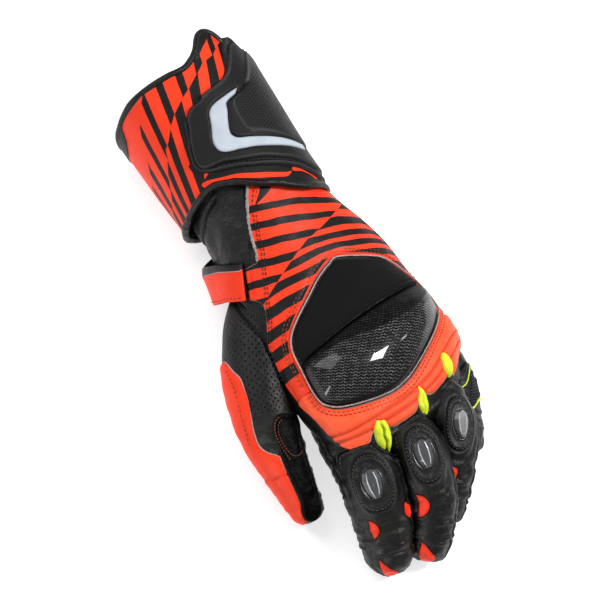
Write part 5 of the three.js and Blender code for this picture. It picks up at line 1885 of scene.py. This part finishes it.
def finger_frame(name, at, turn):
    """The middle of a place on a finger, and the directions along it, across it and out of it."""
    surface = finger_surface(name)
    u, v = turn * FINGER_ARC, at * FINGER_STEP
    middle = surface(u, v, 0.0)
    forward = surface(u, v + 1.5, 0.0) - surface(u, v - 1.5, 0.0)
    forward /= np.linalg.norm(forward)
    side = surface(u + 1, v, 0.0) - surface(u - 1, v, 0.0)
    side -= forward * (side @ forward)
    side /= np.linalg.norm(side)
    up = np.cross(side, forward)
    up *= np.sign(up @ (surface(u, v, 3.0) - middle))
    return middle, forward, side, up


def build_slider(name):
    """A faceted hard cap on its finger, and the stitch row round it."""
    slider = SLIDERS[name]
    middle, forward, side, up = finger_frame(name, slider["at"], slider["turn"])
    size = np.array([slider["wide"], slider["long"]])
    ring = smooth_line([np.array(corner) * size for corner in SLIDER_CORNERS for _ in range(2)], 0.55)
    oval = np.arctan2(*(ring / size).T)
    oval = np.stack([np.sin(oval), np.cos(oval)], -1) * size
    # Where along the bevel rings the painted highlight shows.
    lengthwise = smooth(0.85, 0.7, np.abs(ring[:, 1]) / slider["long"])
    points, rims, bevel_highlights = [], [], []
    for across, ahead, height, squared, kind in SLIDER_LEVELS:
        flat = (ring * squared + oval * (1 - squared)) * (across, ahead)
        points.append(middle + flat[:, 1:] * forward + flat[:, :1] * side + height * slider["high"] * up)
        rims.append(np.full(len(ring), float(kind == "rim")))
        bevel_highlights.append(float(kind == "bevel") * lengthwise)
    around = len(ring)
    faces = grid_faces(len(points), around, closed=True, flip=True)
    last = (len(points) - 1) * around
    faces += [tuple(range(around)), tuple(range(last + around - 1, last - 1, -1))]
    make_piece("slider_" + name + "_cap", np.concatenate(points), faces, [SLIDER],
               replaced=["slider_" + name], slot="slider_plastic",
               masks={"rim": np.concatenate(rims), "bevel": np.concatenate(bevel_highlights)})
    oval = OVALS[name]
    turn = np.linspace(0, 2 * math.pi, OVAL_POINTS, endpoint=False)
    u = np.sin(turn) * oval["wide"] * OVAL_ROW + oval["turn"] * FINGER_ARC
    v = np.cos(turn) * oval["long"] * OVAL_ROW + oval["at"] * FINGER_STEP
    sew("slider_" + name + "_stitches", [on_relief(name, smooth_line(np.stack([u, v], -1), 0.7), 0.1)],
        GREY_THREAD, 1.2, 0.8, 0.3)


def build_finger_details():
    """The insets, the folded edges with their stitches, and the yellow cords."""
    def inset_relief(name):
        def relief(flat, edge):
            under = finger_relief(name, flat[:, 0], flat[:, 1])
            return under + 0.35 + 0.25 * smooth(-0.2, 0.9, edge) + 0.1 * noise(flat, 4, 91)
        return relief

    insets = [(name, rows, RED_LEATHER) for name, rows in RED_VENTS] + [(*STRETCH_INSET, STRETCH)]
    for number, (name, rows, material) in enumerate(insets):
        # Painted shade round the rim of each inset.
        panel("finger_inset_" + str(number), finger_surface(name), on_finger(rows), inset_relief(name),
              [material], spacing=0.6, bevel=0.2,
              masks=lambda flat, edge: {"crease": smooth(0.8, 0.1, edge) * 0.6})
    for name, rows in ROOT_FOLDS.items():
        seen = [(angle, t - 0.01) for angle, t in rows if FOLD_FROM < angle < FOLD_TO]
        line = finger_line(seen, 0.7)
        tube(name + "_folded_edge", on_relief(name, line, -0.25, 1.2), 0.55, BLACK_LEATHER)
        sew(name + "_fold_stitches", [on_relief(name, beside(line, FOLD_STITCHES), 0.05)], GREY_THREAD,
            1.5, 0.9, 0.22)
    for number, (rows, radius) in enumerate(NEON_CORDS):
        line = finger_line(rows, 0.6)
        tube("neon_line_" + str(number), raised(finger_surface("little"), line, 1.4), radius, YELLOW,
             flatten=0.8)


def build_rest():
    build_hand()
    for name in FINGERS:
        build_finger(name)
    build_thumb_patches()
    build_back_panel()
    build_knuckle_panel()
    build_guard()
    build_piping()
    build_flex()
    build_strap()
    for number, leaf in enumerate(GUSSETS, 1):
        build_gusset(number, leaf)
    for name in SLIDERS:
        build_slider(name)
    build_finger_details()


# Floor, light and camera
# The point that the camera and the lights are turned to
AIM = np.array([-1.9, -44.7, 30.0]) + SHIFT
# The direction from the glove back to the camera, its roll in degrees, and its distance and lens in mm
CAMERA_BACK = np.array([-0.42, -0.20, 0.885])
CAMERA_ROLL, CAMERA_DISTANCE, LENS = 32.5, 1500.0, 160.7
# Half the floor's side, in metres
FLOOR_HALF = 3.0


def build_camera():
    back = CAMERA_BACK / np.linalg.norm(CAMERA_BACK)
    up = np.array([0.0, 1.0, 0.0]) - back * back[1]
    up /= np.linalg.norm(up)
    right = np.cross(up, back)
    turn = math.radians(CAMERA_ROLL)
    picture_up = math.cos(turn) * up + math.sin(turn) * right
    picture_right = math.cos(turn) * right - math.sin(turn) * up
    data = bpy.data.cameras.new("camera")
    data.lens = LENS
    data.sensor_width = 36.0
    data.clip_end = 20.0
    camera = bpy.data.objects.new("camera", data)
    bpy.context.collection.objects.link(camera)
    place = (AIM + back * CAMERA_DISTANCE) * MM
    columns = np.stack([picture_right, picture_up, back, place], 1)
    camera.matrix_world = Matrix([list(row) for row in columns] + [[0, 0, 0, 1]])
    bpy.context.scene.camera = camera


def area_light(name, direction, distance, size, power_in_watts, long=None):
    """A light that faces the glove, its distance and its sides in metres."""
    data = bpy.data.lights.new(name, "AREA")
    data.energy = power_in_watts
    data.size = size
    if long:
        data.shape = "RECTANGLE"
        data.size_y = long
    light = bpy.data.objects.new(name, data)
    bpy.context.collection.objects.link(light)
    toward = Vector(direction).normalized()
    light.location = Vector(AIM * MM) + toward * distance
    light.rotation_euler = toward.to_track_quat("Z", "Y").to_euler()
    return light


def build_stage():
    """A pale floor that almost vanishes, an even white world and four lights."""
    finish = Finish("floor")
    floor_color = finish.mix(finish.noise(120, 3.0), linear(207, 207, 208), linear(203, 203, 205))
    finish.done(floor_color, 0.85, specular_ior_level=0.1, emission_color=(1, 1, 1, 1),
                emission_strength=0.66)
    half = FLOOR_HALF
    mesh = bpy.data.meshes.new("floor")
    corners = [(-half, -half, 0), (half, -half, 0), (half, half, 0), (-half, half, 0)]
    mesh.from_pydata(corners, [], [(0, 1, 2, 3)])
    mesh.materials.append(finish.material)
    floor = bpy.data.objects.new("floor", mesh)
    bpy.context.collection.objects.link(floor)
    world = bpy.data.worlds.new("studio")
    world.use_nodes = True
    world.node_tree.nodes["Background"].inputs["Color"].default_value = (1, 1, 1, 1)
    world.node_tree.nodes["Background"].inputs["Strength"].default_value = 0.44
    bpy.context.scene.world = world
    bpy.context.scene.view_settings.view_transform = "Standard"
    # The key is mirrored in the front of the knuckle guard, and the left and right ones at its two
    # ends. The left one is only mirrored and the top one lights the glove from beyond its cuff.
    area_light("key", (0.459, -0.208, 0.864), 1.5, 0.33, 20)
    left = area_light("left", (-0.86, -0.35, 0.16), 0.9, 0.27, 6.4, long=0.72)
    left.visible_diffuse = False
    area_light("right", (0.756, -0.285, 0.589), 1.6, 0.04, 0.4, long=0.16)
    area_light("top", (-0.5, 0.75, 0.9), 1.8, 1.3, 17)


build_cuff()
build_cuff_edges()
build_armor()
build_rest()
build_camera()
build_stage()
bpy.context.view_layer.update()
